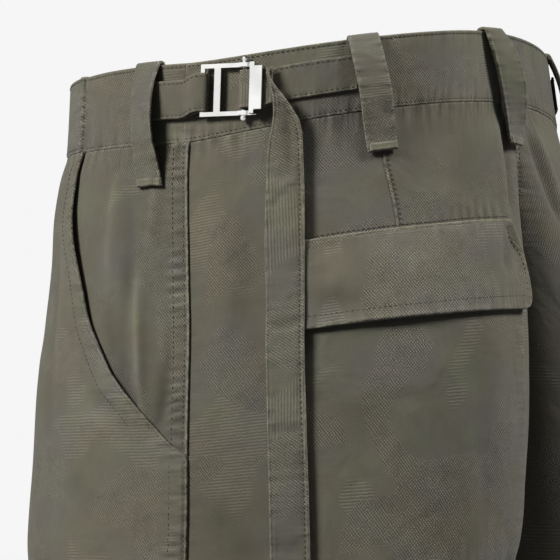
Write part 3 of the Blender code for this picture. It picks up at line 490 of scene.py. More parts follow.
def sheet_piece(name, side, span, first, last, lift, wall, rows=(), pitch=2.9 * MM,
                finish=None, slot="cloth", nodes=(), hem=(0, 0, 0, 0), rolls=(), creases=(),
                tone=1.0, turned=False, rests_on=("waistband_back_cloth",)):
    """Sheet of cloth between two drops and two edges; lift is that of its outer face.

    rows lists the rows of stitches: the edge they follow, their distance from it, and
    where they start and end, all in millimetres. hem gives how much of the rim's pucker
    there is at the first, last, top and bottom edge, and rolls lists the edges that are
    turned or corded: the distance, width and height of each cord.
    """
    top, bottom = span
    drops = spaced(top, bottom, count_for(bottom - top, pitch))
    starts, stops = first(drops), last(drops)
    arcs = spaced(starts, stops, count_for(stops - starts, pitch))
    drops = np.repeat(drops[:, None], arcs.shape[1], axis=1)
    edges = {"first": lambda a, d: (a - first(d)) * perpendicular(first, d),
             "last": lambda a, d: (last(d) - a) * perpendicular(last, d),
             "top": lambda a, d: d - top, "bottom": lambda a, d: bottom - d}

    def grooves(a, d):
        depth = np.zeros(np.shape(a))
        for edge, distance, start, stop in rows:
            away = edges[edge](a, d) - distance * MM
            run = d if edge in ("first", "last") else a
            inside = (run > start * MM) & (run < stop * MM)
            depth += GROOVE * bell(away, GROOVE_WIDTH) * inside
        return depth

    def rolled(a, d):
        height = np.zeros(np.shape(a))
        for edge, start, width, rise in rolls:
            across = 2 * (edges[edge](a, d) - start * MM) / (width * MM) - 1
            height += rise * MM * np.sqrt(np.clip(1 - across ** 2, 0, 1))
        return height

    def middle(a, d):
        return lift(a, d) - wall / 2 + relief(a, d, side) + crease_height(a, d, creases)

    def surface(a, d):
        return middle(a, d) + wall / 2 - grooves(a, d) + rolled(a, d)

    near = {key: edge(arcs, drops) for key, edge in edges.items()}
    from_edge = np.clip(np.minimum.reduce(list(near.values())), 0, None)
    half = half_thickness(from_edge, wall)
    base = middle(arcs, drops)
    outer = form(arcs, drops, base + half - grooves(arcs, drops) + rolled(arcs, drops))
    inner = form(arcs, drops, base - half)
    offset = own_offset(name)
    cut = np.stack([arcs + offset[0], drops + offset[1], from_edge], axis=-1)
    strength = [np.exp(-near[key] / RIM_REACH) * amount
                for key, amount in zip(("first", "last", "top", "bottom"), hem)]
    shared_creases = CREASES_MM + OWN_CREASES_MM[side]
    # Painted shade and light: the colour follows the height of puckers and creases, darker in their
    # hollows and paler on their crests.
    painted_shade_and_wear = (PUCKER_PAINTED_SHADING * puckers(arcs, drops)
            + CREASE_PAINTED_SHADING * crease_height(arcs, drops, shared_creases)
            + OWN_CREASE_PAINTED_SHADING * crease_height(arcs, drops, creases)) / MM
    rim = np.stack([np.maximum(strength[0], strength[1]),
                    np.maximum(strength[2], strength[3]), tone * (1 + painted_shade_and_wear)], axis=-1)
    if turned:                    # cut along the other thread
        cut, rim = cut[..., [1, 0, 2]], rim[..., [1, 0, 2]]
    piece = shell_mesh(f"{name}_{side}", outer, inner, {"cut": cut, "rim": rim}, finish,
                       side == "right")
    finish_piece(piece, slot, *[f"{node}_{side}" for node in nodes])
    widths = stops - starts
    area = float(np.sum((widths[1:] + widths[:-1]) / 2 * np.diff(drops[:, 0])))
    declare(piece, float(widths.max()), bottom - top, area, rests_on)
    for edge, distance, start, stop in rows:
        run = np.arange(start, stop, 0.5) * MM
        if edge in ("first", "last"):
            line, sign = (first, 1) if edge == "first" else (last, -1)
            spots = np.stack([line(run) + sign * distance * MM / perpendicular(line, run), run])
        else:
            at = top + distance * MM if edge == "top" else bottom - distance * MM
            spots = np.stack([run, np.full(len(run), at)])
        add_row(side, spots.T, lambda a, d: form(a, d, surface(a, d)))
    return piece


def declare(piece, width, length, area, rests_on):
    """States the flat cut of what shows of a sheet, without its turnings."""
    CUTS.append((piece, (width, length), min(area, width * length), rests_on))


def finish_piece(piece, slot, *nodes):
    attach(piece, "root")
    if nodes:
        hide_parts(*nodes)
    return piece


def softened(path):
    """Polyline with its corners cut twice, which keeps its ends."""
    path = np.array(path, float)
    for _ in range(2):
        before, after = path[:-1] * 0.75 + path[1:] * 0.25, path[:-1] * 0.25 + path[1:] * 0.75
        path = np.concatenate([path[:1], np.stack([before, after], axis=1).reshape(-1, 3),
                               path[-1:]])
    return path


def resampled(path, pitch):
    along = run_along(path)
    wanted = spaced(0, along[-1], count_for(along[-1], pitch))
    return read_at(wanted, along, path), wanted


def ribbon_piece(name, side, path, across, width, wall, bend, row_inset, finish, tone,
                 roll=0.1 * MM, rests_on=()):
    """Doubled strip along a path of (arc, drop, lift), with a row of stitches along both edges.

    bend places the strip's points, and row_inset is how far in the rows run, in
    millimetres, or 0 for none.
    """
    path, along = resampled(softened(path), RIBBON_PITCHES[0])
    across = np.array([*across, 0.0]) / np.linalg.norm(across)
    normals = np.cross(across, unit(np.gradient(path, axis=0)))
    u = spaced(-width / 2, width / 2, count_for(width, RIBBON_PITCHES[1]))
    from_side = np.minimum(u + width / 2, width / 2 - u)
    from_end = np.minimum(along, along[-1] - along)
    from_edge = np.minimum(from_side[None, :], from_end[:, None])
    half = half_thickness(from_edge, wall)
    half = half + roll * bell(from_side, RIBBON_ROLL_WIDTH)[None, :] * (half > 0)
    if row_inset:
        groove = 0.5 * GROOVE * bell(from_side - row_inset * MM, GROOVE_WIDTH)
        half = half - groove[None, :] * (from_end > row_inset * MM)[:, None]
    half = np.clip(half, 0, None)
    spots = path[:, None, :] + across[None, None, :] * u[None, :, None]
    faces = []
    for sign in (1, -1):
        moved = spots + sign * normals[:, None, :] * half[..., None]
        faces.append(bend(*np.moveaxis(moved, -1, 0)))
    offset = own_offset(name)
    cut = np.stack([np.broadcast_to(u + offset[0], half.shape),
                    np.broadcast_to((along + offset[1])[:, None], half.shape), from_edge], -1)
    rim = np.stack([np.broadcast_to(RIBBON_RIM * np.exp(-from_side / RIBBON_RIM_REACH),
                                    half.shape),
                    np.zeros(half.shape), np.full(half.shape, tone)], axis=-1)
    piece = shell_mesh(f"{name}_{side}" if side else name, faces[0], faces[1],
                       {"cut": cut, "rim": rim}, finish, side == "right")
    if rests_on:
        declare(piece, width, float(along[-1]), width * float(along[-1]), rests_on)
    if row_inset:
        for sign in (-1, 1):
            at = sign * (width / 2 - row_inset * MM)
            line = np.column_stack([np.full(len(along), at), along])

            def on_ribbon(v, s):
                out = read_at(s, along, normals) * (wall / 2 - 0.5 * GROOVE)
                return bend(*np.moveaxis(read_at(s, along, path) + across * v[..., None] + out,
                                         -1, 0))

            inside = (along > row_inset * MM) & (along < along[-1] - row_inset * MM)
            add_row(side, line[inside], on_ribbon)
    return piece


def seam_ridge(name, line, width, height, lift, tone, sheet, side, finish):
    """Narrow raised edge of a seam of one sheet, along a line of (arc, drop)."""
    path = [(arc * MM, drop * MM, lift) for arc, drop in line]
    (a, d), (b, e) = np.array(line[0], float), np.array(line[-1], float)
    across = (e - d, a - b)
    piece = ribbon_piece(name, side, path, across, width, height, on_side(side), 0, finish,
                         tone)
    SEWN_ON.append((piece, f"{sheet}_{side}"))
    finish_piece(piece, "cloth")


def add_row(side, line, surface):
    STITCH_ROWS.append((side, np.asarray(line, float), surface))


# ------------------------------------------------------------------ panels
MOUTH = from_table(MOUTH_MM)
MOUTH_END = MOUTH_MM[-1][0] * MM
LAP = MOUTH_MM[0][1] * MM


def even_lift(value):
    return lambda arc, drop: np.full(np.shape(arc), float(value))


def towards_middle(arc):
    """1 on the hip, 0 on the middle line, so that nothing crosses it."""
    return 1 - rising(np.abs(arc), 120 * MM, 190 * MM)


def sewn_over(drop):
    """How far each half runs past the middle line, down to the crotch."""
    return SEWN_OVER * (1 - rising(drop, 236 * MM, 256 * MM))


def front_middle(drop):
    return front_end(drop) - sewn_over(drop)


def back_middle(drop):
    return back_end(drop) + sewn_over(drop)


def front_edge(drop):
    """Edge of the front panel: the pocket's mouth, and below it the side seam."""
    return np.where(drop < MOUTH_END, MOUTH(drop), SEAM_ARC + 0.3 * MM)


def front_lift(arc, drop):
    """The front panel lies over the facing, gapes at the mouth and is pressed flat below it."""
    gape = np.interp(drop, MOUTH_GAPE_DROPS, (0, MOUTH_GAPE, 0))
    away = arc - front_edge(drop)
    closed = rising(drop, MOUTH_END - 12 * MM, MOUTH_END + 4 * MM)
    pressed = (FRONT_LIFT - SEAM_STEP) * bell(away, PRESSED_REACH) * closed
    return FRONT_LIFT * towards_middle(arc) + gape * bell(away, MOUTH_GAPE_REACH) - pressed


def facing_lift(arc, drop):
    """The facing rises over its turning at the side seam and sinks behind the mouth's edge."""
    turning = FACING_TURNING * rising(arc, -7.2 * MM, -5.6 * MM)
    drops, depths = np.array(FACING_DEPTHS_MM).T * MM
    beside = arc - front_edge(np.minimum(drop, MOUTH_END - MM))
    return turning - np.interp(drop, drops, depths) * bell(beside, FACING_DEPTH_REACH)


DART_MM = ((120.5, 26), (121.5, 34), (124, 46), (126, 58), (127, 71.5))
FLY_WIDTH_MM = (  # drop, distance of the fly's stitches from the middle of the front
    (1, 37), (60, 37), (110, 36.5), (135, 34), (152, 28), (164, 19), (171, 9), (174, 1.5))
SIDE_SEAM_MM = [(SEAM_ARC / MM - 0.8, drop) for drop in np.linspace(1, 181, 40)]
FLAP_SEAM_MM = [(arc, 71.2) for arc in np.linspace(72, 214, 40)]
FLAP_STITCHES_MM = [(arc, 67.8) for arc in range(68, 218, 4)]
RIDGES = (  # name, line, width, height and lift, tone, sheet that it lies on
    ("dart_ridge", DART_MM, 1.5 * MM, 0.6 * MM, 0.1 * MM, 1.0, "back_panel_cloth"),
    ("side_seam_ridge", SIDE_SEAM_MM, 1.5 * MM, 1.0 * MM, 1.15 * MM, 1.2, "back_panel_cloth"),
    ("flap_seam_ridge", FLAP_SEAM_MM, 2.4 * MM, 1.5 * MM, 2.5 * MM, 1.2, "back_flap_cloth"),
)


def make_seams(cloth):
    """Raised edges and stitches of the dart, the side seam and the flap, and the fly's rows."""
    for side in ("left", "right"):
        place = on_side(side)
        on_back = lambda arc, drop, place=place: place(arc, drop, 0)
        for ridge in RIDGES:
            seam_ridge(*ridge, side, cloth)
        add_row(side, np.array(DART_MM) * MM + (2.2 * MM, 0), on_back)
        add_row(side, np.array(FLAP_STITCHES_MM) * MM, on_back)
    place = on_side("left")
    on_front = lambda arc, drop: place(arc, drop, front_lift(arc, drop))
    turns = np.arange(len(FLY_WIDTH_MM)) * 1.0
    fly_drops = np.array(FLY_WIDTH_MM)[:, 0] * MM
    drops = curve_through(turns, fly_drops, np.linspace(0, turns[-1], 60))
    widths = from_table(FLY_WIDTH_MM)(drops)
    add_row("left", np.column_stack([front_end(drops) + widths, drops]), on_front)
    add_row("left", np.column_stack([front_end(drops) + 1.8 * MM, drops]), on_front)


FACING_CREASES_MM = (
    (((-31, 70), (-29, 104), (-27, 150), (-27, 200)), 3, 1.5, 0.2),
    (((-56, 84), (-44, 122), (-37, 150), (-34, 190)), 8, -2.4, 0),
    (((-48, 8), (-52, 34), (-56, 62)), 3, 0.9, 0.3),
    (((-40, 60), (-38, 90), (-41, 118)), 4, -1.0, 0.2),
    (((-12, 96), (-13, 120), (-10, 146)), 3, 0.8, 0.2),
    (((-58, 50), (-52, 74), (-54, 92)), 4, 0.8, 0.2),
)


def make_hems(cloth):
    """Turned-up hem inside each leg."""
    for side in ("left", "right"):
        inside = lambda a, d: np.where(a < SEAM_ARC, front_lift(a, d), 0) - HEM_DEPTH
        sheet_piece("front_hem_cloth", side, (OUTSEAM - HEM, OUTSEAM - 0.6 * MM),
                    lambda d: front_end(d) + 2 * MM, constant(SEAM_ARC - 3 * MM), inside,
                    1.0 * MM, finish=cloth, tone=0.95, rests_on=("front_panel_cloth",))
        sheet_piece("back_hem_cloth", side, (OUTSEAM - HEM, OUTSEAM - 0.6 * MM),
                    constant(0), lambda d: back_end(d) - 2 * MM,
                    even_lift(-HEM_DEPTH), 1.0 * MM, finish=cloth, tone=0.95,
                    rests_on=("back_panel_cloth",))


def make_panels(cloth):
    """Front panels, the facings in the pockets' mouths and the back panels."""
    for side in ("left", "right"):
        sheet_piece("front_panel_cloth", side, (-0.5 * MM, OUTSEAM),
                    front_middle, front_edge, front_lift, 1.2 * MM,
                    (("last", 2.2, 4, 176), ("last", 12.5, 6, 165), ("bottom", 25, -200, 2),
                     ("last", 11.5, 186, 505), ("last", 2.2, 184, 505)),
                    finish=cloth, nodes=("front_panel",), hem=(0.5, 1, 0.8, 0.6),
                    rolls=(("last", 0, 1.9, 0.8), ("last", 2.2, 2.1, 0.6)), tone=1.06,
                    rests_on=("waistband_front_cloth", "waistband_side_cloth"))
        sheet_piece("pocket_facing_cloth", side, (-0.5 * MM, MOUTH_END + 3 * MM),
                    lambda d: front_edge(np.minimum(d, MOUTH_END)) - POCKET_UNDERLAP,
                    constant(SEAM_ARC), facing_lift, 1.2 * MM,
                    (("last", 10.5, 2, 177), ("last", 3.2, 2, 178)),
                    pitch=1.9 * MM, finish=cloth, nodes=("pocket_facing",), hem=(0, 1, 0.8, 0),
                    tone=0.92, creases=FACING_CREASES_MM, rests_on=("front_panel_cloth",))
        sheet_piece("back_panel_cloth", side, (-0.5 * MM, OUTSEAM),
                    constant(-2 * MM), back_middle, even_lift(0), 1.2 * MM,
                    (("bottom", 25, 8, 250), ("last", 2.5, 0, 255)),
                    finish=cloth, nodes=("back_panel",), hem=(0.6, 0.8, 0.8, 0.6), tone=0.97)


# ------------------------------------------------------------------ waistband
LAP_RIDGE = 0.9 * MM
LAP_RISE = 1.6 * MM
UNDER_LAP_DEPTH = 1.9 * MM


def band_lift(arc, drop):
    """The front of the band steps up over the side at the lap, with a raised edge there."""
    over = FRONT_LIFT * (1 - rising(arc, LAP - 1.5 * MM, LAP + 1.5 * MM))
    ridge = LAP_RIDGE * bell(arc - LAP + 2.5 * MM, 2.2 * MM)
    return BAND_LIFT + (over + ridge) * towards_middle(arc)


def lap_lift(arc, drop):
    """The left end lies over the right one, in front of the middle line."""
    middle = front_end(drop)
    return band_lift(arc, drop) + LAP_RISE * (1 - rising(arc, middle, middle + 8 * MM))


def under_lap_lift(arc, drop):
    """The right end runs on under the lapped one."""
    stop = front_end(drop) + BAND_LAP + 2 * MM
    return band_lift(arc, drop) - UNDER_LAP_DEPTH * (1 - rising(arc, stop - 3 * MM, stop))


def make_waistband(cloth):
    """Front, side and back of the band, with a row of stitches along both long edges."""
    span = (-BAND_HEIGHT, -0.3 * MM)
    long_rows = lambda start, stop: (("top", 2.2, start, stop), ("bottom", 2.2, start, stop))
    for side in ("left", "right"):
        past = -BAND_LAP if side == "left" else 1 * MM
        lift = lap_lift if side == "left" else under_lap_lift
        sheet_piece("waistband_front_cloth", side, span,
                    lambda d: front_end(d) + past, constant(LAP), lift, BAND_WALL,
                    long_rows(-205, -89) + (("last", 4.2, -45, -2),), finish=cloth,
                    nodes=("waistband_front",), hem=(0.3, 1, 0.4, 0.8),
                    rolls=(("last", 0, 1.9, 0.5), ("last", 2.2, 2.0, 0.45),
                           ("top", 0, 2.6, 0.25)), tone=1.08, rests_on=())
        sheet_piece("waistband_side_cloth", side, span, constant(LAP - SEWN_OVER),
                    constant(SEWN_OVER), band_lift, BAND_WALL, long_rows(-86, -1),
                    finish=cloth, nodes=("waistband_side",), hem=(0, 1, 0.4, 0.8),
                    rolls=(("top", 0, 2.6, 0.25),), tone=1.05, rests_on=())
        sheet_piece("waistband_back_cloth", side, span, constant(-SEWN_OVER), back_middle,
                    band_lift, BAND_WALL, long_rows(1, 235), finish=cloth,
                    nodes=("waistband_back",), hem=(1, 0.6, 0.4, 0.8),
                    # Painted light and shade: the left half of the back band is coloured paler and
                    # the right half darker.
                    rolls=(("top", 0, 2.6, 0.25),), tone=1.1 if side == "left" else 0.86,
                    rests_on=())


# ------------------------------------------------------------------ back pockets
POCKET_MM = (  # drop, towards the side, towards the middle
    (76, 66, 219), (122, 64, 222), (225, 64, 226), (240, 66.5, 224), (249, 72, 217),
    (254, 82, 205))
FLAP_MM = (  # drop, towards the side, towards the middle, lift of its outer face
    (70.5, 72.5, 213, 2.1), (72.5, 71.2, 214.8, 3.4), (80, 69.2, 217, 4.2), (92, 65, 222, 4.8),
    (106, 62, 227, 5.2), (114, 61.2, 228, 5.6), (118, 62.4, 226.6, 5.8), (120.6, 65, 223.5, 5.9),
    (121.8, 69, 219, 5.9))


FLAP_CREASES_MM = (
    (((208, 71), (210, 80), (213, 92)), 2.6, -2.4, 0),
    (((206, 76), (203, 89), (199, 103)), 3, -1.8, 0.3),
    (((214, 76), (218, 90), (221, 106)), 3, 1.3, 0),
    (((76, 112), (92, 108), (112, 112)), 7, -1.0, 0.3),
    (((100, 84), (128, 96), (160, 92)), 12, 1.2, 0.2),
    (((84, 76), (90, 92), (84, 106)), 8, 0.9, 0),
    (((176, 82), (186, 96), (182, 110)), 8, -0.8, 0.2),
)


def make_back_pockets(cloth):
    """Sewn-on back pockets and the flaps over their mouths."""
    for side in ("left", "right"):
        sheet_piece("back_pocket_cloth", side, (76 * MM, 254 * MM), from_table(POCKET_MM, 1),
                    from_table(POCKET_MM, 2), even_lift(2.0 * MM), 1.3 * MM,
                    (("first", 2, 80, 246), ("bottom", 2, 86, 201)),
                    finish=cloth, nodes=("back_pocket",), hem=(0.6, 0.6, 0, 0.6), tone=1.12,
                    rests_on=("back_panel_cloth",))
        lift = from_table(FLAP_MM, 3)
        sheet_piece("back_flap_cloth", side, (70.5 * MM, 121.8 * MM), from_table(FLAP_MM, 1),
                    from_table(FLAP_MM, 2), lambda a, d: lift(d), 1.6 * MM,
                    (("bottom", 7.2, 69, 221), ("first", 5.2, 74, 114),
                     ("last", 5.2, 74, 114)),
                    finish=cloth, nodes=("back_flap",), hem=(0.5, 0.8, 0.8, 0.7), tone=1.16,
                    rolls=(("bottom", 0, 2.4, 0.35), ("last", 0, 2.4, 0.4),
                           ("first", 0, 2.4, 0.3)),
                    creases=FLAP_CREASES_MM, rests_on=("back_panel_cloth",))


# ------------------------------------------------------------------ belt loops
LOOP_WIDTH = 18 * MM
LOOP_WALL = 1.8 * MM
LOOP_END_DROP = 25 * MM
LOOP_END_WIDTH = 16.4 * MM
CENTRE_LOOP_SEAT = 1.4 * MM
GAP = 0.3 * MM
LOOPS_MM = {
    "front_left": (-26, -21, 7.6, 3.0),   # top arc, end arc, bow, extra bow of one edge
    "front_right": (-26, -21, 7.6, 3.0),
    "back_left": (106, 120, 5.5, 0),
    "back_right": (140, 138, 5.5, 0),
    "centre": (-20, -9, 6.0, 3.6),
}
LOOP_PATH = (  # share of the height, share of the bow
    (0, 0.12), (0.14, 0.62), (0.3, 0.92), (0.48, 1.0), (0.66, 0.8), (0.82, 0.35), (0.92, 0.06),
    (1.0, 0.0))


def make_loops(cloth):
    """Belt loops, each with the sewn bar and the two rows of stitches at its lower end."""
    for name, sizes in LOOPS_MM.items():
        top_arc, end_arc, bow, tilt = np.array(sizes) * MM
        centre = name == "centre"
        place_name, _, side = name.partition("_")
        seat = BAND_LIFT + (CENTRE_LOOP_SEAT if centre else 0)
        path = loop_path(top_arc, end_arc, bow, seat)
        bend = leaning(top_arc, end_arc, tilt, on_middle if centre else on_side(side))
        tone = 1.0 if place_name == "front" else 1.12
        band = "waistband_side_cloth" if place_name == "front" else "waistband_back_cloth"
        piece = ribbon_piece(f"loop_{place_name}_cloth", side or None, path, (-1, 0),
                             LOOP_WIDTH, LOOP_WALL, bend, 2.0, finish=cloth, tone=tone,
                             roll=0.28 * MM, rests_on=(band,))
        finish_piece(piece, "cloth", "loop_" + name)
        loop_name = piece.name
        lift = seat + 2 * GAP + LOOP_WALL + 0.1 * MM
        bar = [(end_arc + sign * LOOP_END_WIDTH / 2, LOOP_END_DROP - 2.4 * MM, lift)
               for sign in (-1, 1)]
        piece = ribbon_piece(f"loop_{place_name}_end", side or None, np.linspace(*bar, 12),
                             (0, 1), 4.6 * MM, 1.7 * MM, bend, 0, finish=cloth, tone=1.08)
        SEWN_ON.append((piece, loop_name))
        finish_piece(piece, "cloth")
        for away in (6.2, 7.6):
            row = np.linspace(bar[0], bar[1], 20)
            spots = np.column_stack([row[:, 0], row[:, 1] - (away - 2.4) * MM])
            add_row(side or None, spots, lambda a, d, b=bend, l=lift: b(a, d, l - 0.05 * MM))


def loop_path(top_arc, end_arc, bow, seat_lift):
    """From inside the band over its top edge, out in a bow and down to the sewn end."""
    top = -BAND_HEIGHT - 2 * GAP - LOOP_WALL / 2
    inside = BAND_LIFT - BAND_WALL - 2 * GAP - LOOP_WALL / 2
    outside = seat_lift + 2 * GAP + LOOP_WALL / 2
    path = [(top_arc, top + 9 * MM, inside), (top_arc, top + 1.2 * MM, inside),
            (top_arc, top, inside + 1.2 * MM), (top_arc, top, outside - 1.2 * MM),
            (top_arc, top + 1.2 * MM, outside)]
    height = LOOP_END_DROP - top - 3 * MM
    for share, out in LOOP_PATH[1:]:
        drop = top + 3 * MM + share * height
        arc = top_arc + share * (end_arc - top_arc)
        path.append((arc, drop, outside + out * bow))
    return path


def leaning(top_arc, end_arc, tilt, place):
    """The bow of a loop stands off more at one of its long edges than at the other."""
    top, height = -BAND_HEIGHT, BAND_HEIGHT + LOOP_END_DROP

    def bent(arc, drop, lift):
        share = (drop - top) / height
        middle = top_arc + share * (end_arc - top_arc)
        bow = np.where(lift > 0, np.interp(share, *np.transpose(LOOP_PATH)), 0.0)
        tilted = tilt * bow * (arc - middle) / (LOOP_WIDTH / 2)
        return place(arc, drop, lift + tilted)

    return bent


def on_middle(arc, drop, lift):
    """Place whose arc is counted from the middle of the back."""
    raised = lift + relief(arc * 0 + 230 * MM, drop, "left")
    point = form(back_end(drop) - np.abs(arc), drop, raised)
    point[..., 0] *= np.where(arc < 0, 1, -1)
    return point


# ------------------------------------------------------------------ side adjuster
STRAP_WALL = 1.6 * MM
STRAP_SEAT = BAND_LIFT + GAP + 0.4 * MM
SHORT_STRAP_WIDTH = 22.5 * MM
SHORT_STRAP_START = -36 * MM
SHORT_STRAP_DROP = -25.3 * MM
SHORT_STRAP_FOLD_END = -22 * MM    # its turned-back layer ends under the front belt loop
LONG_STRAP_WIDTH = 22 * MM
LONG_STRAP_STARTS = {"left": 104 * MM, "right": 138 * MM}
LONG_STRAP_DROP = -25.0 * MM
LONG_STRAP_LEVEL = 62 * MM
LONG_STRAP_END = 57 * MM
FLAT_BLEND = 14 * MM
FRAME_DROP = -26.3 * MM
FRAME_START = 12.9 * MM
FRAME_LENGTH = 35.3 * MM
FRAME_LIFT = 3.4 * MM
FRAME_WALL = 2.0 * MM
RAIL = 2.5 * MM
PIN_ARC = 39.9 * MM
PIN_LIFT = FRAME_LIFT + FRAME_WALL / 2
TAIL_MM = (  # drop, edge towards the front, edge towards the back, lift of its outer face
    (-34.5, 53.5, 54.3, 10.8), (-31, 53.7, 55.0, 10.8), (-25, 55.4, 57.6, 10.8),
    (-14, 57.8, 64.5, 10.7), (-6, 58.3, 69.0, 9.8), (3, 57.8, 73.2, 8.7),
    (14, 56.0, 75.0, 7.6), (34, 54.2, 75.2, 6.2), (75, 52.0, 74.0, 6.3),
    (106, 52.0, 73.2, 7.3), (122, 52.0, 73.2, 8.2), (140, 52.4, 73.6, 7.6),
    (170, 53.2, 74.6, 6.6), (225, 54.8, 76.6, 6.4), (290, 56.4, 78.6, 6.4))


TAIL_CREASES_MM = (
    (((52, 116), (64, 118), (75, 114)), 3, -1.2, 0.5),
    (((52, 172), (64, 174), (76, 173)), 2.6, -1.1, 0.5),
    (((62, 40), (66, 36), (71, 38)), 2.4, 0.8, 0.3),
    (((56, 52), (60, 44), (66, 41)), 2.4, -0.7, 0.2),
    (((54, 232), (66, 236), (77, 233)), 4, -1.0, 0.3),
    (((66, -8), (69, 12), (68, 34)), 2.6, -0.7, 0.2),
    (((60, -6), (61, 16), (59, 40)), 3.0, 0.5, 0),
)


def long_strap_drop(arc):
    """Drop of the long strap's middle line: it runs down to the buckle's own."""
    buckle_end = FRAME_START + FRAME_LENGTH
    past = smooth_step((arc - buckle_end) / (LONG_STRAP_LEVEL - buckle_end))
    return FRAME_DROP + (LONG_STRAP_DROP - FRAME_DROP) * past


def hairpin(start, turn, back_to, low, high, drop_at):
    """Path of (arc, drop, lift): along the band, round a bar at turn and back above it."""
    way = 1 if turn > start else -1
    radius = (high - low) / 2
    path = [(arc, low) for arc in np.linspace(start, turn, 40)]
    for angle in np.linspace(0, pi, 9)[1:-1]:
        path.append((turn + way * radius * np.sin(angle), (low + high) / 2
                     - radius * np.cos(angle)))
    path += [(arc, high) for arc in np.linspace(turn, back_to, 12)]
    return [(arc, drop_at(arc), lift) for arc, lift in path]


def buckle_axes():
    """Origin on the band under the pin's middle, and the buckle's long, up and out axes."""
    middle = FRAME_START + FRAME_LENGTH / 2
    origin = form(middle, FRAME_DROP, 0)
    along = form(middle + FRAME_LENGTH / 2, FRAME_DROP, 0) - form(FRAME_START, FRAME_DROP, 0)
    along[2] = 0                  # the buckle hangs level
    along = unit(along)
    down = form(middle, FRAME_DROP + 10 * MM, 0) - origin
    out = unit(np.cross(down, along))
    return origin, along, np.cross(out, along), out


def buckle_point(arc, up, lift):
    """Place on the flat buckle: arc as on the band, height from its middle line, lift."""
    origin, along, upward, out = buckle_axes()
    arc, up, lift = (np.asarray(v)[..., None] for v in (arc, up, lift))
    middle = FRAME_START + FRAME_LENGTH / 2
    return origin + along * (arc - middle) + upward * up + out * lift


def on_adjuster(arc, drop, lift):
    """The straps follow the band, and lie flat where the buckle holds them."""
    before = (arc - (FRAME_START - FLAT_BLEND)) / FLAT_BLEND
    after = (FRAME_START + FRAME_LENGTH + FLAT_BLEND - arc) / FLAT_BLEND
    flat = (smooth_step(before) * smooth_step(after))[..., None]
    curved_spot = form(arc, drop, lift)
    return curved_spot + (buckle_point(arc, FRAME_DROP - drop, lift) - curved_spot) * flat


def make_straps(cloth):
    """Short straps that hold the buckles, long straps round the pins, and their hanging ends."""
    low = STRAP_SEAT + STRAP_WALL / 2
    high = 2 * PIN_LIFT - low
    bar = FRAME_START + RAIL / 2
    for side in ("left", "right"):
        path = hairpin(SHORT_STRAP_START, bar + 0.5 * MM, bar - 5 * MM, low, high,
                       lambda arc: SHORT_STRAP_DROP)
        laid = low + STRAP_WALL + 0.1 * MM
        for arc in np.linspace(bar - 6 * MM, SHORT_STRAP_FOLD_END, 24):
            down = smooth_step((bar - 5 * MM - arc) / (9 * MM))
            path.append((arc, SHORT_STRAP_DROP, high + (laid - high) * down))
        piece = ribbon_piece("strap_short_cloth", side, path, (0, 1), SHORT_STRAP_WIDTH,
                             STRAP_WALL, on_adjuster, 2.0, finish=cloth, tone=1.0,
                             roll=0.2 * MM, rests_on=("waistband_side_cloth", "buckle_frame"))
        finish_piece(piece, "strap_cloth", f"strap_short_{side}")
        path = hairpin(LONG_STRAP_STARTS[side], PIN_ARC, LONG_STRAP_END, low, high,
                       long_strap_drop)
        piece = ribbon_piece("strap_long_cloth", side, path, (0, 1), LONG_STRAP_WIDTH,
                             STRAP_WALL, on_adjuster, 2.0, finish=cloth, tone=1.12,
                             roll=0.2 * MM, rests_on=("waistband_back_cloth", "buckle_frame"))
        finish_piece(piece, "strap_cloth", f"strap_long_{side}")
        lift = from_table(TAIL_MM, 3)
        sheet_piece("strap_tail_cloth", side, (-34.5 * MM, 290 * MM), from_table(TAIL_MM, 1),
                    from_table(TAIL_MM, 2), lambda a, d: lift(d), 1.6 * MM,
                    (("first", 1.8, -20, 286), ("last", 2.6, -10, 286)), pitch=1.6 * MM,
                    rolls=(("first", 0, 1.7, 0.7), ("first", 1.9, 1.6, 0.4),
                           ("last", 0, 1.9, 0.5)), tone=1.06, turned=True,
                    creases=TAIL_CREASES_MM,
                    finish=cloth, slot="strap_cloth", nodes=("strap_tail",),
                    hem=(0.5, 0.5, 0, 0.3), rests_on=("buckle_plate",))


# ------------------------------------------------------------------ buckles and button
PIN_MM = (  # radius and distance from the pin's middle, up to where its ball begins
    (1.1, 0), (1.1, 12.2), (1.55, 12.4), (1.7, 12.9), (1.6, 14.2), (1.55, 15.6), (1.6, 15.9))
PIN_RISE = 0.5 * MM
KNOB_RADIUS = 1.95 * MM
KNOB_CENTRE = 17.2 * MM
PLATE_MM = ((45.1, 15), (48.2, 15), (48.2, 12.7), (53.0, 12.7))   # arc, half the height
PLATE_LIFTS = (8.9 * MM, 9.75 * MM)
BUTTON_MM = (  # radius, height: from the middle of the face over the rim to the back
    (0.02, 1.9), (5.3, 1.9), (6.1, 2.25), (7.0, 2.4), (7.9, 2.35), (8.4, 1.9), (8.5, 1.2),
    (8.4, 0.5), (7.9, 0))
BUTTON_KNOT_MM = ((0.02, 0.7), (0.5, 0.6), (0.85, 0.25), (0.95, -0.2))
KNOT_SPACING = 1.7 * MM
TURNED_SIDES = 32


def turned_piece(name, side, profile, spot, finish, slot, *nodes):
    """Piece turned about an axis: spot places the sideways, axial and outward offsets."""
    radii, heights = np.array(profile).T
    turns = np.linspace(0, 2 * pi, TURNED_SIDES, endpoint=False)
    points = spot(radii[:, None] * np.cos(turns), heights[:, None] + 0 * turns,
                  radii[:, None] * np.sin(turns))
    index = np.arange(points[..., 0].size).reshape(len(radii), TURNED_SIDES)
    here, there = index[:-1], index[1:]
    quads = np.stack([np.roll(here, -1, axis=1), here, there, np.roll(there, -1, axis=1)],
                     axis=-1).reshape(-1, 4)
    piece = add_mesh(f"{name}_{side}" if side else name, points, quads, {}, finish,
                     side == "right")
    return finish_piece(piece, slot, *nodes)


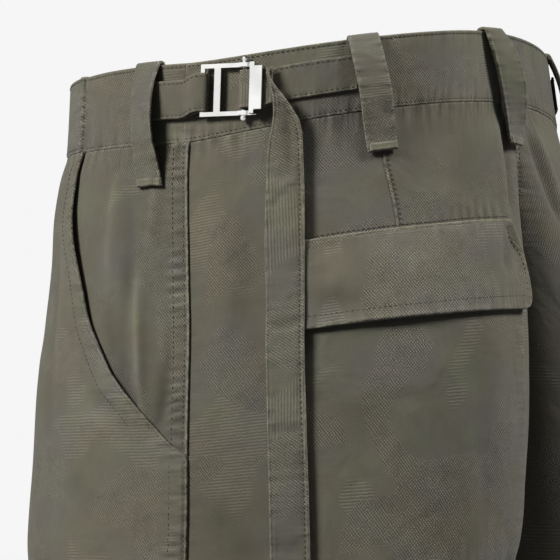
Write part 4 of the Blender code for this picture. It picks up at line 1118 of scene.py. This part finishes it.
def make_buckles(metal):
    """Turned pins with collars and balls, and the blank stepped face of each plate."""
    turns = np.linspace(-0.18 * pi, 0.5 * pi, 12)
    ball = [(max(KNOB_RADIUS * np.cos(t), 0.02 * MM), KNOB_CENTRE + KNOB_RADIUS * np.sin(t))
            for t in turns]
    half = [(radius * MM, up * MM) for radius, up in PIN_MM] + ball
    profile = [(radius, -up) for radius, up in reversed(half)] + half[1:]
    outline = np.array(PLATE_MM) * MM
    outline = np.concatenate([outline, (outline * (1, -1))[::-1]])
    count = len(outline)
    for side in ("left", "right"):
        turned_piece("buckle_pin_metal", side, profile,
                     lambda a, u, o: buckle_point(PIN_ARC + a, PIN_RISE + u, PIN_LIFT + o),
                     metal, "buckle_metal", f"buckle_pin_{side}")
        points = np.concatenate([buckle_point(*outline.T, lift) for lift in PLATE_LIFTS])
        faces = [tuple(range(count)), tuple(range(2 * count - 1, count - 1, -1))]
        faces += [(k, k + count, (k + 1) % count + count, (k + 1) % count) for k in range(count)]
        if side == "right":
            points = points * (-1, 1, 1)
            faces = [face[::-1] for face in faces]
        mesh = bpy.data.meshes.new("plate face")
        mesh.from_pydata(points.tolist(), [], faces)
        mesh.materials.append(metal)
        piece = add_object(f"buckle_plate_face_{side}", mesh)
        round_edges(piece, 0.4 * MM)
        finish_piece(piece, "buckle_metal")


def round_edges(piece, width):
    rounded = piece.modifiers.new("rounded edges", "BEVEL")
    rounded.width = width
    rounded.segments = 3
    rounded.limit_method = "ANGLE"
    rounded.angle_limit = radians(40)


def make_button(finish, thread):
    """Rimmed button, sewn on with four knots."""
    low, high = (np.array(corner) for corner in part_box("waist_button"))
    middle = (low + high) / 2
    face_on = lambda x, out, z: np.stack([middle[0] + x, high[1] - out, middle[2] + z], axis=-1)
    turned_piece("waist_button_face", None, np.array(BUTTON_MM) * MM, face_on, finish, "button",
                 "waist_button")
    for k in range(4):
        x, z = (KNOT_SPACING * cos(pi / 4 + k * pi / 2), KNOT_SPACING * sin(pi / 4 + k * pi / 2))
        knot = lambda a, out, b: face_on(x + a, out + 1.9 * MM, z + b)
        turned_piece(f"button_knot_{k + 1}", None, np.array(BUTTON_KNOT_MM) * MM, knot, thread,
                     "cloth")


# ------------------------------------------------------------------ stitches
THREAD_RADIUS = 0.27 * MM
STITCH = 2.1 * MM
STITCH_PITCH = 2.9 * MM


def make_stitches(thread):
    """Short threads along every row, a little uneven, as one mesh for each side."""
    chance = np.random.default_rng(11)
    shares = np.array((0.0, 0.3, 0.7, 1.0))
    radii = np.array((0.35, 1.0, 1.0, 0.35)) * THREAD_RADIUS
    heights = np.array((-0.25, 0.25, 0.25, -0.25)) * MM
    turns = pi / 4 + np.arange(4) * pi / 2
    for wanted in ("left", "right"):
        points, quads, total = [], [], 0
        for side, line, surface in STITCH_ROWS:
            if (side or "left") != wanted:
                continue
            along = run_along(line)
            starts = np.arange(0, along[-1] - STITCH, STITCH_PITCH)
            starts = starts + chance.uniform(-0.12, 0.12, len(starts)) * MM
            at = starts[:, None] + STITCH * shares[None, :]
            a, d = np.moveaxis(read_at(at, along, line), -1, 0)
            spots = surface(a, d)
            beside = surface(a + 0.3 * MM, d) - spots
            below = surface(a, d + 0.3 * MM) - spots
            out = unit(np.cross(below, beside))
            aside = np.cross(out, unit(np.gradient(spots, axis=1)))
            ring = (spots[:, :, None] + out[:, :, None] * heights[None, :, None, None]
                    + radii[None, :, None, None] * (
                        out[:, :, None] * np.sin(turns)[None, None, :, None]
                        + aside[:, :, None] * np.cos(turns)[None, None, :, None]))
            n, m, k = ring.shape[:3]
            index = total + np.arange(n * m * k).reshape(n, m, k)
            here, there = index[:, :-1], index[:, 1:]
            quads.append(np.stack([here, np.roll(here, -1, axis=2), np.roll(there, -1, axis=2),
                                   there], axis=-1).reshape(-1, 4))
            points.append(ring.reshape(-1, 3))
            total += n * m * k
        piece = add_mesh(f"stitches_{wanted}", np.concatenate(points), np.concatenate(quads), {},
                         thread, wanted == "right")
        finish_piece(piece, "cloth")


# ------------------------------------------------------------------ materials
OLIVE = (0.132, 0.13, 0.092, 1)
GREY = (0.128, 0.12, 0.099, 1)
BROWN = (0.126, 0.113, 0.081, 1)


class Value:
    """Output of a shader node; arithmetic on it adds the nodes that work the result out."""

    def __init__(self, node, output=0):
        self.tree = node.id_data
        self.socket = node.outputs[output]

    def __add__(self, other):
        return maths("ADD", self, other)

    def __sub__(self, other):
        return maths("SUBTRACT", self, other)

    def __rsub__(self, other):
        return maths("SUBTRACT", other, self)

    def __mul__(self, other):
        return maths("MULTIPLY", self, other)


def feed(node, key, value):
    """Links a value to a node's input, or sets the input to a number or a colour."""
    if isinstance(value, Value):
        node.id_data.links.new(value.socket, node.inputs[key])
    else:
        node.inputs[key].default_value = value


def feed_all(node, inputs):
    for key, value in inputs.items():
        feed(node, key, value)


def put(tree, kind, inputs=None, **settings):
    """New shader node with its settings, its inputs fed by name or number."""
    node = tree.nodes.new("ShaderNode" + kind)
    for name, setting in settings.items():
        setattr(node, name, setting)
    feed_all(node, inputs or {})
    return node


def tree_of(*values):
    return next(value.tree for value in values if isinstance(value, Value))


def maths(operation, *values):
    return Value(put(tree_of(*values), "Math", dict(enumerate(values)), operation=operation))


def ramp(value, low, high, start=0.0, end=1.0):
    """Value carried smoothly from low..high to start..end."""
    inputs = {"Value": value, "From Min": low, "From Max": high, "To Min": start, "To Max": end}
    return Value(put(value.tree, "MapRange", inputs, interpolation_type="SMOOTHSTEP"))


def noise(place, scale, detail=2.0, rough=0.5, distortion=0.0, shift=0.0):
    moved = put(place.tree, "VectorMath", {0: place, 1: (shift, shift * 1.7, 0)}, operation="ADD")
    inputs = {"Vector": Value(moved), "Scale": scale, "Detail": detail, "Roughness": rough,
              "Distortion": distortion}
    return Value(put(place.tree, "TexNoise", inputs, noise_dimensions="3D"), "Fac")


def mixed(factor, first, second, blend="MIX"):
    """Colour between the first and the second by a factor from 0 to 1."""
    return Value(put(tree_of(factor, first, second), "Mix", {0: factor, 6: first, 7: second},
                     data_type="RGBA", blend_type=blend, clamp_factor=True), 2)


def split(vector):
    node = put(vector.tree, "SeparateXYZ", {0: vector})
    return [Value(node, output) for output in "XYZ"]


def joined(x, y):
    return Value(put(tree_of(x, y), "CombineXYZ", {"X": x, "Y": y}))


def bump(height, strength, distance, normal=None):
    inputs = {"Strength": strength, "Distance": distance, "Height": height}
    if normal:
        inputs["Normal"] = normal
    return Value(put(height.tree, "Bump", inputs))


def new_group(name, inputs, outputs):
    """Empty node group, the vectors given to it by name, and the node that takes its results."""
    tree = bpy.data.node_groups.new(name, "ShaderNodeTree")
    for label in inputs:
        tree.interface.new_socket(label, in_out="INPUT", socket_type="NodeSocketVector")
    for label in outputs:
        tree.interface.new_socket(label, in_out="OUTPUT", socket_type="NodeSocketFloat")
    given = tree.nodes.new("NodeGroupInput")
    return tree, {label: Value(given, label) for label in inputs}, tree.nodes.new("NodeGroupOutput")


def lines_across(x, y, angle, pitch, wobble):
    """Waves of a weave whose lines run at an angle below the cross direction, 0 to 1."""
    across = x * sin(radians(angle)) + y * -cos(radians(angle))
    return maths("SINE", across * (2 * pi / pitch) + wobble) * 0.5 + 0.5


def weave_group():
    """Tone-on-tone camouflage: smooth, twill and ribbed patches of a washed cotton jacquard."""
    tree, given, result = new_group("jacquard weave", ("Place",),
                                    ("Tone", "Shade", "Warmth", "Height"))
    x, y, _ = split(given["Place"])
    flat = joined(x, y)
    patch = noise(flat, 19.0, 1.5, 0.45, 0.5)
    other = noise(flat, 17.0, 1.5, 0.45, 0.6, 5.3)
    third = noise(flat, 23.0, 1.0, 0.4, 0.4, 9.1)
    twill = ramp(patch, 0.51, 0.53)
    rib = ramp(other, 0.56, 0.6) * (1.0 - twill)
    wobble = noise(flat, 420.0) * 7.0
    steep = lines_across(x, y, 52, 1.3 * MM, wobble)
    cross = lines_across(x, y, -42, 1.35 * MM, wobble)
    level = lines_across(x, y, 0, 1.7 * MM, wobble * 0.6)
    patchy = ramp(noise(flat, 110.0, 3.0, 0.6, 0.3, 3.1), 0.25, 0.55, 0.55, 1.0)
    weave = (twill * steep * (cross * 0.7 + 0.3) + rib * level * 0.48) * patchy
    grain = noise(flat, 1500.0, 3.0, 0.7)
    cloudy = noise(flat, 95.0, 4.0, 0.65, 0.4, 1.3)
    tone = weave * 1.15 + 0.36 + grain * 0.9 + cloudy * 0.24
    holes = (twill + rib * 0.5) * 0.3
    feed_all(result, {
        "Tone": tone - holes,
        "Shade": (ramp(third, 0.46, 0.5) + ramp(patch, 0.4, 0.44)) * 0.5,
        "Warmth": ramp(noise(flat, 14.0, 2.0, 0.5, 0.8, 7.7), 0.4, 0.6),
        "Height": weave * 0.8 + grain * 0.7})
    return tree


def painted_shade_and_wear_group():
    """Seam puckers with painted light and shade, slow wrinkles and the pale rubbed edges of washed
    cloth.
    """
    tree, given, result = new_group("washed and worn", ("Place", "Rim"),
                                    ("Wear and painted shade", "Grime", "Height"))
    x, y, from_edge = split(given["Place"])
    beside, above, _ = split(given["Rim"])
    flat = joined(x, y)
    waves_down = ramp(noise(joined(x * 0.18, y), 170.0, 1.5), 0.3, 0.7) - 0.5
    waves_along = ramp(noise(joined(x, y * 0.18), 170.0, 1.5), 0.3, 0.7) - 0.5
    puckered = waves_down * beside + waves_along * above
    near = ramp(from_edge, 0.3 * MM, 2.2 * MM, 1.0, 0.0)
    feed_all(result, {
        # puckered paints light on the puckers' crests and shade in their hollows; near gives the
        # rubbed edges
        "Wear and painted shade": near * ramp(noise(flat, 320.0, 3.0), 0.35, 0.65) + puckered * 0.9,
        "Grime": ramp(noise(flat, 8.0, 3.0, 0.6, 0.5, 4.4), 0.35, 0.65),
        "Height": noise(flat, 30.0, 2.5, 0.5, 0.6, 2.2) * 2.2 + puckered * 1.4})
    return tree


def new_material(name):
    """Material, its tree of nodes and its shader."""
    made = bpy.data.materials.new(name)
    made.use_nodes = True
    return made, made.node_tree, made.node_tree.nodes["Principled BSDF"]


def cloth_material():
    """Washed cotton: three close tones in patches, painted shade of creases and puckers, weave and
    puckers in bump.
    """
    made, tree, shader = new_material("camouflage cloth")
    place, rim = (Value(put(tree, "Attribute", attribute_name=layer), "Vector")
                  for layer in ("cut", "rim"))
    weave = put(tree, "Group", {"Place": place}, node_tree=weave_group())
    painted_shade_and_wear = put(tree, "Group", {"Place": place, "Rim": rim}, node_tree=painted_shade_and_wear_group())
    colour = mixed(Value(weave, "Shade"), OLIVE, GREY)
    colour = mixed(Value(weave, "Warmth") * 0.7, colour, BROWN)
    # The wear output and the third value of rim carry painted light and shade of puckers and
    # creases, besides the rubbed edges and each piece's tone.
    lighter = Value(painted_shade_and_wear, "Wear and painted shade") * 0.42 + Value(weave, "Tone")
    lighter = lighter * (Value(painted_shade_and_wear, "Grime") * 0.12 + 0.94) * split(rim)[2]
    grown = Value(put(tree, "CombineColor", {0: lighter, 1: lighter, 2: lighter}))
    wrinkles = bump(Value(painted_shade_and_wear, "Height"), 0.9, 1.0 * MM)
    feed_all(shader, {
        "Base Color": mixed(1.0, colour, grown, "MULTIPLY"), "Roughness": 0.85,
        "Specular IOR Level": 0.25, "Sheen Weight": 0.12, "Sheen Roughness": 0.5,
        "Normal": bump(Value(weave, "Height"), 0.6, 0.35 * MM, wrinkles)})
    return made


def thread_material():
    """Dull thread whose twist shows as fine ridges."""
    made, tree, shader = new_material("sewing thread")
    place = Value(put(tree, "TexCoord"), "Object")
    shade = ramp(noise(place, 180.0), 0.3, 0.7)
    twist = put(tree, "TexWave", {"Vector": place, "Scale": 900.0, "Distortion": 2.0})
    feed_all(shader, {
        "Base Color": mixed(shade, (0.035, 0.033, 0.024, 1), (0.085, 0.08, 0.06, 1)),
        "Roughness": 0.7, "Normal": bump(Value(twist, "Fac"), 0.4, 0.1 * MM)})
    return made


def metal_material():
    """Polished pale metal with fine rubbing marks."""
    made, tree, shader = new_material("buckle metal")
    place = Value(put(tree, "TexCoord"), "Object")
    marks = noise(place, 700.0, 4.0, 0.6)
    cloudy = ramp(noise(place, 60.0), 0.35, 0.65)
    feed_all(shader, {
        "Base Color": mixed(cloudy, (0.82, 0.82, 0.81, 1), (0.7, 0.7, 0.69, 1)),
        "Metallic": 1.0, "Roughness": ramp(marks, 0.3, 0.7, 0.12, 0.26),
        "Normal": bump(marks, 0.05, 0.2 * MM)})
    return made


def button_material():
    """Dark streaked button, a little glossy."""
    made, tree, shader = new_material("waist button")
    streaks = noise(Value(put(tree, "TexCoord"), "Object"), 120.0, 3.0, 0.6, 1.5)
    colour = mixed(ramp(streaks, 0.35, 0.65), (0.05, 0.047, 0.036, 1), (0.1, 0.092, 0.07, 1))
    feed_all(shader, {"Base Color": colour, "Roughness": ramp(streaks, 0.3, 0.7, 0.35, 0.5)})
    return made


cloth = cloth_material()
thread = thread_material()
metal = metal_material()
make_panels(cloth)
make_hems(cloth)
make_waistband(cloth)
make_seams(cloth)
make_back_pockets(cloth)
make_loops(cloth)
make_straps(cloth)
make_stitches(thread)
make_buckles(metal)
make_button(button_material(), thread)
for node in ("buckle_frame_left", "buckle_frame_right", "buckle_plate_left",
             "buckle_plate_right"):
    solid = bpy.data.objects[node]
    solid.data.materials.clear()
    solid.data.materials.append(metal)
    round_edges(solid, 0.5 * MM)


# ------------------------------------------------------------------ studio
CAMERA_AZIMUTH = 120             # degrees; 0 looks along +Y
CAMERA_ELEVATION = -3
CAMERA_DISTANCE = 2.4
CAMERA_LENS = 254.2              # millimetres, on a sensor 36 mm wide
AIM_ASIDE = -0.02003             # metres, to the right as the camera sees it
AIM_HEIGHT = -0.095
LAMPS = (  # name, azimuth, elevation, width, power
    ("key", 66, 31, 0.8, 65),
    ("second", 204, 44, 0.9, 64),
)
LAMP_DISTANCE = 2.4
LAMP_AIM_HEIGHT = -0.15
AMBIENT = 0.032                  # light of the room, apart from the lamps
BACKDROP = 0.92
WINDOW_WAY = (0.9, -0.35, 0.15)  # where polished metal mirrors the bright side of the room
WAIST_ABOVE_FLOOR = 1.0          # metres, as on a standing wearer
FLOOR_REACH = 16.0


def direction(azimuth, elevation):
    """Way from the middle of the scene to something at these angles, in degrees."""
    a, e = radians(azimuth), radians(elevation)
    return np.array([sin(a) * cos(e), -cos(a) * cos(e), sin(e)])


def add_camera():
    data = bpy.data.cameras.new("camera")
    data.lens = CAMERA_LENS
    data.sensor_width = 36
    data.clip_end = 50
    camera = add_object("camera", data)
    back = direction(CAMERA_AZIMUTH, CAMERA_ELEVATION)
    right = direction(CAMERA_AZIMUTH + 90, 0)
    place = AIM_ASIDE * right + (0, 0, AIM_HEIGHT) + back * CAMERA_DISTANCE
    axes = np.column_stack([right, np.cross(back, right), back, place])
    camera.matrix_world = Matrix([*axes.tolist(), [0, 0, 0, 1]])
    bpy.context.scene.camera = camera


def add_lamp(name, azimuth, elevation, width, power):
    data = bpy.data.lights.new(name, "AREA")
    data.shape = "DISK"
    data.size = width
    data.energy = power
    lamp = add_object(name, data)
    towards = Vector(direction(azimuth, elevation))
    lamp.location = towards * LAMP_DISTANCE + Vector((0, 0, LAMP_AIM_HEIGHT))
    lamp.rotation_euler = towards.to_track_quat("Z", "Y").to_euler()
    lamp.visible_glossy = False       # polished metal mirrors the room instead


def light_room():
    """Pale backdrop, faint light from all sides, and a brighter room in what metal mirrors."""
    world = bpy.data.worlds.new("studio")
    bpy.context.scene.world = world
    world.use_nodes = True
    tree = world.node_tree
    seen = put(tree, "LightPath")
    window = put(tree, "VectorMath", {0: Value(put(tree, "TexCoord"), "Generated"),
                                      1: WINDOW_WAY}, operation="DOT_PRODUCT")
    mirrored = ramp(Value(window, "Value"), 0.3, 0.8, 0.08, 1.15)
    indirect = Value(seen, "Is Glossy Ray") * (mirrored - AMBIENT) + AMBIENT
    strength = maths("MAXIMUM", Value(seen, "Is Camera Ray") * BACKDROP, indirect)
    feed_all(tree.nodes["Background"], {"Color": (1, 1, 1, 1), "Strength": strength})


def add_floor():
    """Pale floor; it gives the shorts no light, as if it lay too far away for that."""
    corners = [(x * FLOOR_REACH, y * FLOOR_REACH, -WAIST_ABOVE_FLOOR)
               for x, y in ((-1, -1), (1, -1), (1, 1), (-1, 1))]
    mesh = bpy.data.meshes.new("floor")
    mesh.from_pydata(corners, [], [(0, 1, 2, 3)])
    finish, tree, shader = new_material("pale floor")
    mesh.materials.append(finish)
    worn_spots = noise(Value(put(tree, "TexCoord"), "Object"), 6.0, 3.0)
    feed_all(shader, {
        "Base Color": mixed(worn_spots, (0.1, 0.1, 0.098, 1), (0.11, 0.11, 0.108, 1)),
        "Emission Color": mixed(worn_spots, (0.94, 0.94, 0.93, 1), (0.96, 0.96, 0.95, 1)),
        "Emission Strength": 0.8, "Roughness": 0.9})
    floor = add_object("floor", mesh)
    floor.visible_diffuse = False
    return floor


add_camera()
for lamp in LAMPS:
    add_lamp(*lamp)
light_room()
bpy.context.scene.view_settings.view_transform = "Standard"
add_floor()

for piece, flat, area, holders in CUTS:
    strips = [strip for strip, sheet in SEWN_ON if sheet == piece.name]
